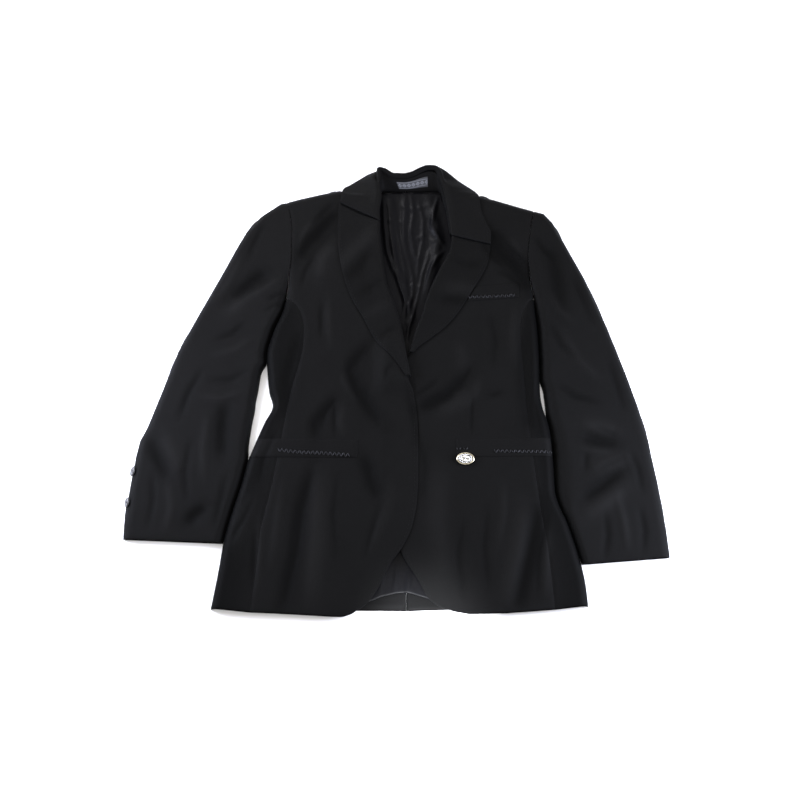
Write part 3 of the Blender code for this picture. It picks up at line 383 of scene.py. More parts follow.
# Main folds and finer creases of the sleeves
SLEEVE_FOLDS = {
    Side.RIGHT: folds(
        (-4, 11, -206, 202, -231, 178, -258, 155), (3, 11, -212, 182, -235, 160, -262, 132),
        (-3, 10, -262, -10, -263, -50, -262, -95), (-3, 10, -283, -170, -312, -196),
        (-2.5, 9, -372, -66, -358, -95, -340, -128), (2, 10, -352, -60, -338, -84, -322, -118),
    ),
    Side.LEFT: folds(
        (2.5, 9, 268, -40, 292, -46, 322, -54), (-2.5, 8, 270, -62, 295, -68, 325, -74),
        (2.5, 9, 282, -116, 300, -108, 332, -96), (-3, 9, 330, -112, 293, -139, 266, -160),
        (2.5, 10, 330, -140, 296, -166, 266, -184), (-2, 10, 236, 250, 244, 190, 248, 130),
    ),
}
SLEEVE_CREASES = {
    Side.RIGHT: folds(
        (-1.1, 4.5, -176, 168, -188, 164, -204, 156), (-0.9, 4, -178, 152, -190, 148, -206, 138),
        (0.9, 4.5, -186, 190, -206, 176, -226, 160), (-0.9, 5, -238, 118, -256, 100, -280, 92),
        (0.9, 5.5, -226, 92, -250, 74, -282, 66), (-0.9, 5, -232, 40, -256, 26, -286, 26),
        (0.9, 5, -240, 6, -268, -4, -300, 0), (-1, 5, -300, 40, -318, 6, -330, -34),
        (0.9, 5.5, -288, -30, -292, -80, -288, -130), (-0.9, 5, -312, -70, -318, -118, -312, -160),
        (0.9, 5.5, -340, -132, -334, -170, -340, -205), (-0.8, 4.5, -366, -120, -362, -160, -368, -200),
        (-0.9, 5, -256, -120, -262, -156, -270, -200), (0.8, 6, -246, 230, -262, 190, -286, 150),
        (-0.8, 5, -212, 286, -226, 256, -236, 226),
    ),
    Side.LEFT: folds(
        (-1, 4.5, 289, -46, 300, -50, 322, -60), (-1, 4, 289, -116, 306, -106, 330, -96),
        (-0.9, 4.5, 277, -86, 275, -100, 274, -116), (0.9, 4.5, 262, -76, 280, -84, 312, -86),
        (-0.9, 4.5, 342, -86, 352, -112, 356, -146), (0.9, 5, 318, -150, 326, -190, 330, -232),
        (-0.9, 5, 300, -178, 302, -212, 296, -244), (-0.9, 5, 352, -172, 356, -206, 352, -236),
        (0.9, 6, 250, 100, 270, 60, 300, 30), (-0.9, 5, 228, 120, 246, 84, 270, 60),
        (-1, 5, 238, 20, 262, 2, 296, -8), (0.9, 5, 232, 168, 246, 140, 266, 120),
        (-0.8, 5, 268, 200, 282, 160, 296, 120), (-0.9, 5, 212, 262, 226, 240, 240, 226),
        (-0.8, 5, 316, 60, 326, 20, 336, -20),
    ),
}

# Slack ridges of the lining in the neck, then the fine ones between them
LINING_FOLDS = folds(
    (3.5, 6, -18, 344, -14, 281, -8, 227, 3, 196, 11, 162, 17, 132, 9, 99), (2.5, 6, 8, 342, 6, 265, 13, 225),
    (3.5, 8, 46, 338, 60, 265, 50, 205, 37, 162), (-1.2, 6, -4, 340, -2, 260, 10, 200),
    (-1.2, 7, 28, 330, 34, 250, 26, 170),
)
LINING_CREASES = folds(
    (2.6, 3.2, -27, 336, -25, 290, -20, 245, -11, 214, -2, 190),
    (2.4, 3, -12, 334, -7, 288, 1, 250, 7, 214, 10, 184), (2.8, 3.2, 18, 344, 21, 310, 17, 278, 22, 244, 30, 222),
    (2.2, 2.8, 30, 330, 37, 300, 36, 262, 30, 232, 27, 196), (2.6, 3, 60, 338, 53, 310, 50, 288, 60, 268, 70, 256),
    (2.6, 3, 70, 246, 60, 236, 48, 214, 42, 190), (2.2, 2.8, 46, 256, 43, 232, 36, 208, 30, 176, 24, 150),
    (2, 2.8, 14, 226, 20, 200, 20, 172, 13, 148, 10, 124), (2, 2.6, -8, 216, -2, 190, 7, 162, 4, 134),
    (1.6, 2.4, 25, 160, 21, 138, 14, 118, 11, 96), (0.9, 2.8, -24, 302, -9, 293, 6, 298),
    (1.1, 2.8, 20, 262, 36, 272, 52, 262, 64, 270), (0.9, 2.6, 6, 182, 20, 187, 34, 182),
    (1.1, 3, -4, 338, 6, 322, 22, 318, 44, 326), (-1.6, 3, -20, 270, -14, 236, -4, 206),
    (-1.6, 3, 10, 300, 12, 262, 18, 232), (-1.8, 3.4, 44, 300, 42, 272, 46, 246),
)

# Ripples of the lining at the hem
HEM_FOLDS = folds(
    (1.3, 4, 13, -262, 12, -280, 10, -297), (0.9, 4, -22, -244, -26, -270, -30, -300),
    (0.8, 3.5, 30, -262, 38, -284, 44, -304), (0.8, 3.5, -4, -250, -6, -274, -8, -296),
)

# Pinches of the lapels, over their smooth roll
LAPEL_FOLDS = folds(
    (1.6, 11, -96, 208, -72, 234, -35, 274), (-1.2, 8, -86, 188, -66, 214, -40, 246),
    (-0.7, 6, -70, 160, -48, 176, -24, 190), (0.8, 7, -56, 128, -36, 140, -14, 150),
    (-0.7, 6, -34, 92, -18, 104, -2, 112), (1.2, 9, 66, 176, 92, 176, 124, 170),
    (-1, 7, 60, 158, 82, 156, 108, 154), (-0.7, 6, 84, 222, 104, 214, 128, 214),
)


@dataclass(frozen=True)
class GarmentForm:
    """The shape in which the blazer lies: one bed of cloth that all of its layers follow.

    A span or a cover says where a rise starts and how wide it is.
    """

    side_roll: float = 13.0
    crown_roll: float = 14.0
    hem_y: float = -318.0
    underarm_y: float = 160.0
    middle_x: float = 8.0
    side_x: float = 200.0
    seam: float = 0.1
    sleeve_seam: float = 0.15
    slip: float = 1.0
    cloth: float = 1.8
    lapel_cloth: float = 1.6
    trim_cloth: float = 1.3
    back_cloth: float = 1.5
    lining_cloth: float = 1.1
    layer_slip: float = 0.4
    arm_blend: float = 45.0
    swell: float = 1.5
    lapel_lift: float = 5.0
    keep_span: Pair = (112.0, 100.0)
    front_cover: Points = ((-50.0, 32.0), (60.0, 40.0))
    lapel_cover: Points = ((-45.0, 30.0), (2.0, 26.0), (82.0, 34.0))
    row_marks: tuple[float, ...] = (0.0, 21.0, 27.0, 31.0)
    middle: Curve = Curve((
        (-330, 11), (-200, 12), (-60, 12.5), (0, 12.5), (60, 13.5), (120, 15.5), (200, 18.5), (300, 20.5),
        (350, 20.5)))
    sides: Curve = Curve((
        (-330, 14), (-200, 16), (-60, 18), (0, 19), (60, 20), (120, 21), (200, 22), (300, 21), (350, 20)))
    arm: Curve = Curve(((-260, 14), (-120, 16), (60, 18), (200, 20), (330, 21)))
    roll: Curve = Curve(((15, 4.6), (60, 4.8), (100, 5.4), (150, 6.0), (400, 6.5)))

    def crown_y(self, side: Side) -> float:
        """Height in the plan of the shoulder's end."""
        return BODY_EDGE[side].ends[1]

    def edge_x(self, side: Side, y: Any) -> Array:
        """The body's edge, and the armhole above it, at height y of the plan."""
        return BODY_EDGE[side].value(y)

    def front_x(self, side: Side, y: Any) -> Array:
        """The front edge, and above the break the line that the lapel turns on."""
        return FRONT_EDGE[side].value(y)

    def crown_line(self, side: Side) -> Points:
        """The rolled outline from the cuff up the sleeve and round the shoulder to the neck."""
        sleeve = tuple((x, y) for y, x in SLEEVE_EDGE[side].rows)
        shoulder = tuple(SHOULDER[side].rows)
        return sleeve + (shoulder if side is Side.RIGHT else shoulder[::-1])

    def keep(self, y: Any) -> Array:
        """Share of its height that the cloth keeps at the body's edge: none low down, all at the shoulder."""
        return rise(y, *self.keep_span)

    def plateau(self, x: Array, y: Array) -> Array:
        """Height away from the rolled edges, which grows from the middle to the sides with a power of the way."""
        spread = np.clip(np.abs(x - self.middle_x) / (self.side_x - self.middle_x), 0.0, 1.0) ** self.swell
        low, high = self.middle.value(y), self.sides.value(y)
        return low + (high - low) * spread

    def lie(self, x: Array, y: Array) -> Array:
        """Height of the body's folds alone, for the shade painted from them into the cloth's colour."""
        return draped(x, y, BODY_FOLDS, BODY_CREASES, shade=True)

    def rounded(self, side: Side, x: Array, y: Array, share: Array) -> Array:
        """Share of its height that the cloth has near its rolled edges.

        A quarter circle of the share of the side's roll, as far as the cloth doesn't keep its height, times
        another of the distance from the crown.

        Args:
            side: The side of the wearer.
            x: Places across the plan.
            y: Places up the plan.
            share: Distance from the side's edge, as a share of its roll.

        Returns:
            The shares, 0 at the edges and 1 inside the rolls.
        """
        keep = self.keep(y)
        crown = quarter(nearest(x, y, self.crown_line(side))[0] / self.crown_roll)
        return (keep + (1 - keep) * quarter(share)) * crown

    def bed(self, x: Any, y: Any) -> Array:
        """Height of the body's outer face: the plateau and the folds, rounded down at the rolled edges.

        Args:
            x: Places across the plan.
            y: Places up the plan.

        Returns:
            The heights over the floor.
        """
        x, y = np.broadcast_arrays(np.asarray(x, float), np.asarray(y, float))
        flat = self.plateau(x, y) + draped(x, y, BODY_FOLDS, BODY_CREASES)
        right, left = (self.rounded(side, x, y, np.abs(x - self.edge_x(side, y)) / self.side_roll) for side in Side)
        return flat * np.where(x < self.middle_x, right, left)

    def lift(self, x: Array, y: Array) -> Array:
        """How far the right front is raised over the left front and over the left lapel."""
        across, end = self.front_cover
        on_front = (self.cloth + self.layer_slip) * rise(x, *across) * (1 - rise(y, *end))
        across, start, end = self.lapel_cover
        on_lapel = rise(x, *across) * rise(y, *start) * (1 - rise(y, *end))
        return on_front + self.lapel_lift * on_lapel

    def surface(self, side: Side, x: Array, y: Array) -> Array:
        """Outer face of a front: the left one is the bed, and the right one is lifted over it."""
        return self.bed(x, y) + (self.lift(x, y) if side is Side.RIGHT else 0.0)

    def skirt_rows(self, side: Side, rows: int) -> tuple[Array, Array]:
        """Rows that the body's panels and the sleeve share.

        They are even up to the underarm and even again to the shoulder, where they follow the turn.

        Args:
            side: The side of the wearer.
            rows: How many rows.

        Returns:
            The rows' heights in the plan, and their shares of the way from the hem to the shoulder.
        """
        crown = self.crown_y(side)
        marks = np.array(self.row_marks)
        t = np.linspace(0.0, marks[-1], rows)
        low = np.interp(t, marks[:3], [self.hem_y, self.underarm_y, crown - self.crown_roll])
        turn = np.clip((marks[3] - t) / (marks[3] - marks[2]), 0.0, 1.0) * math.pi / 2
        high = crown - self.crown_roll * (1 - np.cos(turn))
        return np.where(t > marks[2], high, low), t / marks[-1]


FORM = GarmentForm()


def normals(points: Array) -> Array:
    """Unit normals of a grid: the cross product of its steps across and up, turned to face up."""
    normal = unit(np.cross(np.gradient(points, axis=1), np.gradient(points, axis=0)))
    return normal if normal[..., 2].mean() > 0 else -normal


def travelled(points: Array, axis: int) -> Array:
    """Length along each line of a grid from its start to each point."""
    steps = np.linalg.norm(np.diff(points, axis=axis), axis=-1)
    pad = [(0, 0), (0, 0)]
    pad[axis] = (1, 0)
    return np.pad(np.cumsum(steps, axis=axis), pad)


def inward(points: Array, thickness: float) -> Array:
    """Inner face of a wall: each point moved back along its normal, never out past a flat border.

    Args:
        points: The outer face.
        thickness: How far to move.

    Returns:
        The inner face, not below the floor.
    """
    normal = normals(points)
    move = -thickness * normal
    turned = (points.swapaxes(0, 1), normal.swapaxes(0, 1), move.swapaxes(0, 1))
    for source, tilt, shift in ((points, normal, move), turned):
        for line, second in ((0, 2), (-1, -3)):
            out = source[line] - source[second]
            out[:, 2] = 0.0
            out = unit(out)
            past = np.clip((shift[line] * out).sum(-1, keepdims=True), 0.0, None)
            shift[line] -= np.where(tilt[line][:, 2:] > 0.5, past, 0.0) * out
    inner = points + move
    inner[..., 2] = np.maximum(inner[..., 2], 0.0)
    return inner


def turned_down(points: Array, borders: dict[str, Border]) -> Array:
    """Bends the borders of a grid down into their seams and edges.

    A bell of the distance from the border, times the border's depth, is taken off along the normal.

    Args:
        points: The outer face.
        borders: How the first and last rows and columns end, under bottom, top, start and end.

    Returns:
        The bent face.
    """
    across, up = travelled(points, 1), travelled(points, 0)
    gaps = {"start": across, "end": across[:, -1:] - across, "bottom": up, "top": up[-1:] - up}
    drop = np.zeros(points.shape[:2])
    for name, border in borders.items():
        depth, width = border.value
        drop = np.maximum(drop, depth * np.exp(-(gaps[name] / width) ** 2))
    bent = points - normals(points) * drop[..., None]
    bent[..., 2] = np.maximum(bent[..., 2], 0.0)
    return bent


def fine_steps(length: float, cell: float, start: Sequence[float] = (), end: Sequence[float] = ()) -> Array:
    """Shares 0 to 1 of a length: the marks given near each end, in millimetres, and even steps between."""
    low, high = [0.0, *start], [length, *(length - mark for mark in end)][::-1]
    count = max(2, int(round((high[0] - low[-1]) / cell)))
    return np.concatenate([low[:-1], np.linspace(low[-1], high[0], count + 1), high[1:]]) / length


def even_steps(count: int, close: Sequence[float]) -> Array:
    """Even shares of a way after its start, with the marks given in place of the last one."""
    return np.append(np.linspace(0.0, 1.0, count)[1:-1], close)


def to_mesh(name: str, points: Array, *faces: Array, plan: Array | None = None,
            lie: Array | None = None) -> bpy.types.Object:
    """Makes an object in the scene from arrays.

    Args:
        name: The object's name.
        points: Its points, in millimetres.
        *faces: Corners of its faces, one face to a row.
        plan: Places on the flat cloth, in metres, one for each point, kept as the UV map.
        lie: How high each point lies in its fold, in millimetres, kept as an attribute.

    Returns:
        The object, smooth all over.
    """
    mesh = bpy.data.meshes.new(name)
    rows = [face for group in faces for face in group.tolist()]
    mesh.from_pydata((points.reshape(-1, 3) * MM).tolist(), [], rows)
    mesh.polygons.foreach_set("use_smooth", np.ones(len(mesh.polygons), bool))
    if plan is not None:
        corners = np.empty(len(mesh.loops), np.int32)
        mesh.loops.foreach_get("vertex_index", corners)
        mesh.uv_layers.new(name="Cloth").data.foreach_set("uv", plan.reshape(-1, 2)[corners].ravel())
    # The folds' height, kept as an attribute, paints shade into the cloth's colour: darker in troughs, lighter on
    # ridges
    if lie is not None:
        mesh.attributes.new("Lie", "FLOAT", "POINT").data.foreach_set("value", lie.astype(np.float32))
    mesh.validate()
    thing = bpy.data.objects.new(name, mesh)
    bpy.context.scene.collection.objects.link(thing)
    return thing


def grid_faces(rows: int, cols: int) -> Array:
    """Four-cornered faces between the points of a grid, row by row."""
    index = np.arange(rows * cols).reshape(rows, cols)
    return np.stack([index[:-1, :-1], index[:-1, 1:], index[1:, 1:], index[1:, :-1]], -1).reshape(-1, 4)


def full_turn(count: int) -> Array:
    """Even angles once round, in radians."""
    return np.arange(count) * 2 * math.pi / count


def ring_indices(rings: int, turns: int) -> tuple[Array, Array]:
    """Indices of the points of a row of rings, and of the next point round for each."""
    index = np.arange(rings * turns).reshape(rings, turns)
    return index, np.roll(index, -1, axis=1)


def tube_faces(rings: int, turns: int, downward: bool = False) -> Array:
    """Four-cornered faces between closed rings that follow each other up a tube, or down it."""
    index, after = ring_indices(rings, turns)
    faces = np.stack([index[:-1], after[:-1], after[1:], index[1:]], -1).reshape(-1, 4)
    return faces[:, [0, 3, 2, 1]] if downward else faces


def copies(faces: Array, points: int, count: int) -> Array:
    """Faces of so many copies of a shape with that many points, one after another."""
    return (faces[None] + points * np.arange(count)[:, None, None]).reshape(-1, faces.shape[1])


def border_ring(rows: int, cols: int) -> Array:
    """Indices of a grid's border points, once round."""
    index = np.arange(rows * cols).reshape(rows, cols)
    return np.concatenate([index[0, :-1], index[:-1, -1], index[-1, :0:-1], index[:0:-1, 0]])


@dataclass
class ClothWall:
    """A piece of cloth: a grid on its outer face, its thickness, how its borders end, and its folds' height for
    painted shade.
    """

    name: str
    outer: Array
    thickness: float
    borders: dict[str, Border] = field(default_factory=dict)
    lie: Array | None = None

    @property
    def area(self) -> float:
        """Area of the outer face in square metres: the sum of half the cross product of each cell's diagonals."""
        a, b = self.outer[1:, 1:] - self.outer[:-1, :-1], self.outer[1:, :-1] - self.outer[:-1, 1:]
        return float(np.linalg.norm(np.cross(a, b), axis=-1).sum() / 2 * MM * MM)

    @property
    def cut(self) -> Pair:
        """Greatest width and length of the flat cloth, in metres."""
        return float(travelled(self.outer, 1).max() * MM), float(travelled(self.outer, 0).max() * MM)

    def make(self, inner: Array | None = None) -> bpy.types.Object:
        """Builds the closed wall, with a rounded rim between the two faces.

        Args:
            inner: The inner face, where it isn't the outer one moved in.

        Returns:
            The wall as an object, with the cloth's own places as its UV map.
        """
        inner = inward(self.outer, self.thickness) if inner is None else inner
        outer = turned_down(self.outer, self.borders)
        rows, cols = outer.shape[:2]
        count = rows * cols
        ring = border_ring(rows, cols)
        rim = (outer.reshape(-1, 3)[ring] + inner.reshape(-1, 3)[ring]) / 2
        points = np.concatenate([outer.reshape(-1, 3), inner.reshape(-1, 3), rim])
        middle = 2 * count + np.arange(len(ring))
        upper = np.stack([ring, middle, np.roll(middle, -1), np.roll(ring, -1)], -1)
        lower = np.stack([middle, ring + count, np.roll(ring + count, -1), np.roll(middle, -1)], -1)
        cells = grid_faces(rows, cols)
        faces = np.concatenate([cells, cells[:, ::-1] + count, upper, lower])
        row, col = rows // 2, cols // 2
        here = self.outer[row, col]
        if np.cross(here - self.outer[row, col - 1], here - self.outer[row - 1, col])[2] < 0:
            faces = faces[:, ::-1]
        across, up = travelled(self.outer, 1), travelled(self.outer, 0).mean(axis=1, keepdims=True)
        flat = np.stack([across - across[:, -1:] / 2, np.broadcast_to(up, across.shape)], -1).reshape(-1, 2) * MM
        lie = (np.zeros((rows, cols)) if self.lie is None else self.lie).reshape(-1)
        return to_mesh(self.name, points, faces, plan=np.concatenate([flat, flat, flat[ring]]),
                       lie=np.concatenate([lie, lie, lie[ring]]))


class Wire:
    """A number or colour inside a material, on which Python's own operators work."""

    def __init__(self, graph: "Graph", socket: bpy.types.NodeSocket) -> None:
        """Keeps the socket and the material's graph that it is in."""
        self.graph, self.socket = graph, socket

    def __add__(self, other: Any) -> "Wire":
        """Sum."""
        return self.graph.maths("ADD", self, other)

    __radd__ = __add__

    def __sub__(self, other: Any) -> "Wire":
        """Difference."""
        return self.graph.maths("SUBTRACT", self, other)

    def __rsub__(self, other: Any) -> "Wire":
        """Difference from a number."""
        return self.graph.maths("SUBTRACT", other, self)

    def __mul__(self, other: Any) -> "Wire":
        """Product."""
        return self.graph.maths("MULTIPLY", self, other)

    __rmul__ = __mul__

    def __truediv__(self, other: Any) -> "Wire":
        """Quotient."""
        return self.graph.maths("DIVIDE", self, other)

    def wave(self, pitch: float) -> "Wire":
        """A triangle wave of that pitch: 0 in its troughs and 1 on its ridges."""
        return abs(self.graph.maths("FRACT", self / pitch) - 0.5) * 2.0

    def weave(self, other: "Wire", pitch: float) -> "Wire":
        """Mean of the waves across and along the cloth."""
        return self.wave(pitch) * 0.5 + other.wave(pitch) * 0.5

    def __abs__(self) -> "Wire":
        """Size without the sign."""
        return self.graph.maths("ABSOLUTE", self)

    def between(self, low: float, high: float) -> "Wire":
        """Rises from 0 to 1 while the value goes from low to high."""
        return Wire(self.graph, self.graph.node(
            "ShaderNodeMapRange", {"Value": self, "From Min": low, "From Max": high}, clamp=True).outputs[0])


class Graph:
    """The nodes of one material, made by expressions."""

    def __init__(self, name: str) -> None:
        """Starts a material of that name, with its one shader."""
        self.material = bpy.data.materials.new(name)
        self.material.use_nodes = True
        self.tree = self.material.node_tree
        self.shader = self.tree.nodes["Principled BSDF"]

    def node(self, kind: str, values: dict[Any, Any], **settings: Any) -> bpy.types.Node:
        """Adds a node.

        Args:
            kind: The node's type.
            values: What its sockets get, by name or number: a wire or a constant.
            **settings: The node's own settings, set first.

        Returns:
            The node.
        """
        made = self.tree.nodes.new(kind)
        for key, value in settings.items():
            setattr(made, key, value)
        for key, value in values.items():
            self.feed(made.inputs[key], value)
        return made

    def feed(self, socket: bpy.types.NodeSocket, value: Any) -> None:
        """Links a wire to a socket, or sets the socket to a constant."""
        if isinstance(value, Wire):
            self.tree.links.new(value.socket, socket)
        else:
            socket.default_value = value

    def maths(self, operation: str, *values: Any) -> Wire:
        """A Math node's result."""
        return Wire(self, self.node("ShaderNodeMath", dict(enumerate(values)), operation=operation).outputs[0])

    def colours(self, share: Wire, low: Triple, high: Triple) -> Wire:
        """A colour between two others, mixed by a share."""
        made = self.node("ShaderNodeMix", {0: share, 6: (*low, 1.0), 7: (*high, 1.0)}, data_type="RGBA")
        return Wire(self, made.outputs[2])

    def cloth_places(self) -> tuple[Wire, Wire]:
        """Places across and along the flat cloth, in millimetres, from its own UV map."""
        flat = self.node("ShaderNodeUVMap", {}, uv_map="Cloth").outputs[0]
        parts = self.node("ShaderNodeSeparateXYZ", {0: Wire(self, flat)})
        return Wire(self, parts.outputs[0]) * (1 / MM), Wire(self, parts.outputs[1]) * (1 / MM)

    def lie(self) -> Wire:
        """How high the cloth lies in its fold, in millimetres, from its own attribute, which paints the folds' shade.
        """
        return Wire(self, self.node("ShaderNodeAttribute", {}, attribute_name="Lie").outputs["Fac"])

    def noise(self, place: bpy.types.NodeSocket, scale: float, detail: float) -> Wire:
        """Smooth noise from 0 to 1 at a place, with so many cells to a unit."""
        made = self.node("ShaderNodeTexNoise", {"Vector": Wire(self, place), "Scale": scale, "Detail": detail})
        return Wire(self, made.outputs[0])

    def slubs(self, across: Wire, along: Wire) -> Wire:
        """Noise at a place given by two numbers, one cell for each unit."""
        return self.noise(self.node("ShaderNodeCombineXYZ", {0: across, 1: along}).outputs[0], 1.0, 2.0)

    def blotches(self, size: float, detail: float = 2.0) -> Wire:
        """Noise on the object's own coordinates, of that size in millimetres."""
        return self.noise(self.node("ShaderNodeTexCoord", {}).outputs["Object"], 1.0 / (size * MM), detail)

    def relief(self, height: Wire, depth: float) -> None:
        """Feeds a height from 0 to 1 to the shader's Normal, through a Bump node of that depth in millimetres."""
        bump = self.node("ShaderNodeBump", {"Height": height, "Distance": depth * MM, "Strength": 1.0})
        self.tree.links.new(bump.outputs[0], self.shader.inputs["Normal"])

    def finish(self, values: dict[str, Any]) -> bpy.types.Material:
        """Sets or feeds the shader's own sockets and gives the material."""
        for key, value in values.items():
            self.feed(self.shader.inputs[key], value)
        return self.material


@dataclass(frozen=True)
class Twill:
    """Fine black worsted: slanting ribs of yarn, slubs along the warp, and a faint cool sheen.

    Pitches and the sizes of noises are in millimetres. The tones are the shares of the rib, the yarn, the slub,
    the wear and the painted fold shade in the colour, which is darker in the folds' troughs and lighter on their
    ridges; the heights are those of the rib, the yarn, the slub and the fuzz in the relief. The roughness is a
    base and what wear and slubs add, the sheen its weight and its roughness.
    """

    name: str = "black_twill"
    dark: Triple = (0.0006, 0.0006, 0.0006)
    light: Triple = (0.0057, 0.0056, 0.0056)
    rib: float = 0.9
    yarn: float = 0.45
    warp_slub: Pair = (0.7, 26.0)
    weft_slub: Pair = (30.0, 0.8)
    wear: float = 46.0
    fuzz: float = 1.6
    # Fold height, in millimetres, over which the painted shade runs from darkest to lightest
    fold: float = 4.0
    tones: tuple[float, ...] = (0.20, 0.06, 0.24, 0.22, 1.5)
    tone_base: float = 0.72
    heights: tuple[float, ...] = (0.55, 0.25, 0.35, 0.25)
    slub_mix: Pair = (0.6, 0.4)
    depth: float = 0.10
    rough: Triple = (0.55, 0.14, 0.08)
    sheen: Pair = (0.010, 0.42)
    tint: Triple = (0.62, 0.70, 0.84)
    specular: float = 0.045

    def material(self) -> bpy.types.Material:
        """Builds the cloth.

        The rib is a triangle wave of the sum of the two places on the cloth, crossed by the finer wave of
        the yarns. Two noises stretched along the warp and the weft make the slubs, and a wide one the wear.

        Returns:
            The material.
        """
        graph = Graph(self.name)
        across, along = graph.cloth_places()
        rib = (across + along).wave(self.rib)
        yarn = across.weave(along, self.yarn)
        warp, weft = (graph.slubs(across / wide, along / long) for wide, long in (self.warp_slub, self.weft_slub))
        slub = warp * self.slub_mix[0] + weft * self.slub_mix[1]
        worn, fuzz = graph.blotches(self.wear), graph.blotches(self.fuzz, 3.0)
        # Painted shade: the colour is darker in the folds' troughs and lighter on their ridges
        fold = graph.lie().between(-self.fold, self.fold)
        parts = [part * tone for part, tone in zip((rib, yarn, slub, worn, fold), self.tones)]
        tone = sum(parts[1:], parts[0]) - self.tone_base
        parts = [part * height for part, height in zip((rib, yarn, slub, fuzz), self.heights)]
        graph.relief(sum(parts[1:], parts[0]), self.depth)
        return graph.finish({
            "Base Color": graph.colours(tone.between(0.0, 1.0), self.dark, self.light),
            "Roughness": self.rough[0] + worn * self.rough[1] + slub * self.rough[2],
            "Specular IOR Level": self.specular, "Sheen Weight": self.sheen[0], "Sheen Roughness": self.sheen[1],
            "Sheen Tint": (*self.tint, 1.0)})


@dataclass(frozen=True)
class Satin:
    """Black lining satin: long floats of thread along the warp, and a soft gloss.

    The heights are the shares of the thread, the slub and the crumple in the relief, and the mix those of
    the thread and the slub in the colour. The roughness is a base and what slubs and crumples add.
    """

    name: str = "lining_satin"
    dark: Triple = (0.0006, 0.0006, 0.0008)
    light: Triple = (0.0032, 0.0032, 0.0042)
    thread: float = 0.30
    slub: Pair = (0.5, 18.0)
    crumple: float = 9.0
    heights: Triple = (0.2, 0.3, 6.0)
    mix: Pair = (0.3, 0.7)
    tone_span: Pair = (0.2, 0.8)
    depth: float = 0.05
    rough: Triple = (0.30, 0.10, 0.10)
    sheen: Pair = (0.005, 0.3)
    specular: float = 0.08

    def material(self) -> bpy.types.Material:
        """Builds the satin: a fine wave across the warp, crossed by slubs, and crumples that dull the gloss."""
        graph = Graph(self.name)
        across, along = graph.cloth_places()
        thread = across.wave(self.thread)
        slub = graph.slubs(across / self.slub[0], along / self.slub[1])
        crumple = graph.blotches(self.crumple, 3.0)
        fine, middle, wide = self.heights
        graph.relief(thread * fine + slub * middle + crumple * wide, self.depth)
        tone = (thread * self.mix[0] + slub * self.mix[1]).between(*self.tone_span)
        return graph.finish({
            "Base Color": graph.colours(tone, self.dark, self.light),
            "Roughness": self.rough[0] + slub * self.rough[1] + crumple * self.rough[2],
            "Specular IOR Level": self.specular, "Sheen Weight": self.sheen[0], "Sheen Roughness": self.sheen[1]})


@dataclass(frozen=True)
class LabelTape:
    """Woven label: dark tape with a plain grey lattice between two borders.

    The pitch and the places of the arm, the band and the border line are in millimetres. An edge says from
    where to where a form fades out.
    """

    name: str = "woven_label"
    ground: Triple = (0.016, 0.017, 0.020)
    thread: Triple = (0.11, 0.115, 0.13)
    pitch: float = 7.2
    arm: float = 2.5
    arm_edge: Pair = (0.5, 1.0)
    core_edge: Pair = (0.7, 1.1)
    band_edge: Pair = (3.0, 3.4)
    border: float = 4.6
    border_edge: Pair = (0.35, 0.6)
    border_tone: float = 0.8
    weave: float = 0.5
    weave_tone: Pair = (0.7, 0.3)
    depth: float = 0.12
    rough: Pair = (0.55, 0.15)
    specular: float = 0.4
    sheen: float = 0.1

    def material(self) -> bpy.types.Material:
        """Builds the tape: slanting waves both ways, kept to a band, and a bright line near each border."""
        graph = Graph(self.name)
        across, along = graph.cloth_places()
        middle = abs(across)
        diamond = along.wave(self.pitch) * (0.5 * self.pitch) + middle
        lattice = (1.0 - abs(diamond - self.arm).between(*self.arm_edge)) + (1.0 - diamond.between(*self.core_edge))
        band = 1.0 - middle.between(*self.band_edge)
        line = 1.0 - abs(middle - self.border).between(*self.border_edge)
        weave = across.weave(along, self.weave)
        graph.relief(weave * 0.5 + lattice * band + line, self.depth)
        share = (lattice * band + line * self.border_tone) * (self.weave_tone[0] + weave * self.weave_tone[1])
        return graph.finish({
            "Base Color": graph.colours(share.between(0.0, 1.0), self.ground, self.thread),
            "Roughness": self.rough[0] + weave * self.rough[1],
            "Specular IOR Level": self.specular, "Sheen Weight": self.sheen})


@dataclass(frozen=True)
class Speckled:
    """Resin, plate or thread: wide noise tints it, and fine noise roughens it and gives its relief.

    The cloud is the wide noise's size and detail, and the noise from which and to which the tint runs. The
    rough and coat pairs are a base and what the noise adds. Sizes and the depth are in millimetres.
    """

    name: str
    dark: Triple
    light: Triple
    cloud: tuple[float, ...]
    grain: float
    depth: float
    rough: Pair
    metallic: float = 0.0
    coat: Pair = (0.0, 0.0)
    specular: float = 0.5
    sheen: float = 0.0

    def material(self) -> bpy.types.Material:
        """Builds the material from its two noises."""
        graph = Graph(self.name)
        size, detail, low, high = self.cloud
        cloud, grain = graph.blotches(size, detail), graph.blotches(self.grain)
        graph.relief(grain, self.depth)
        return graph.finish({
            "Base Color": graph.colours(cloud.between(low, high), self.dark, self.light),
            "Roughness": self.rough[0] + grain * self.rough[1], "Metallic": self.metallic,
            "Coat Weight": self.coat[0] + cloud * self.coat[1] if self.coat[0] else 0.0,
            "Specular IOR Level": self.specular, "Sheen Weight": self.sheen})


PLATE = {"cloud": (2.4, 3.0, 0.3, 0.62), "grain": 0.35, "depth": 0.02, "metallic": 1.0}


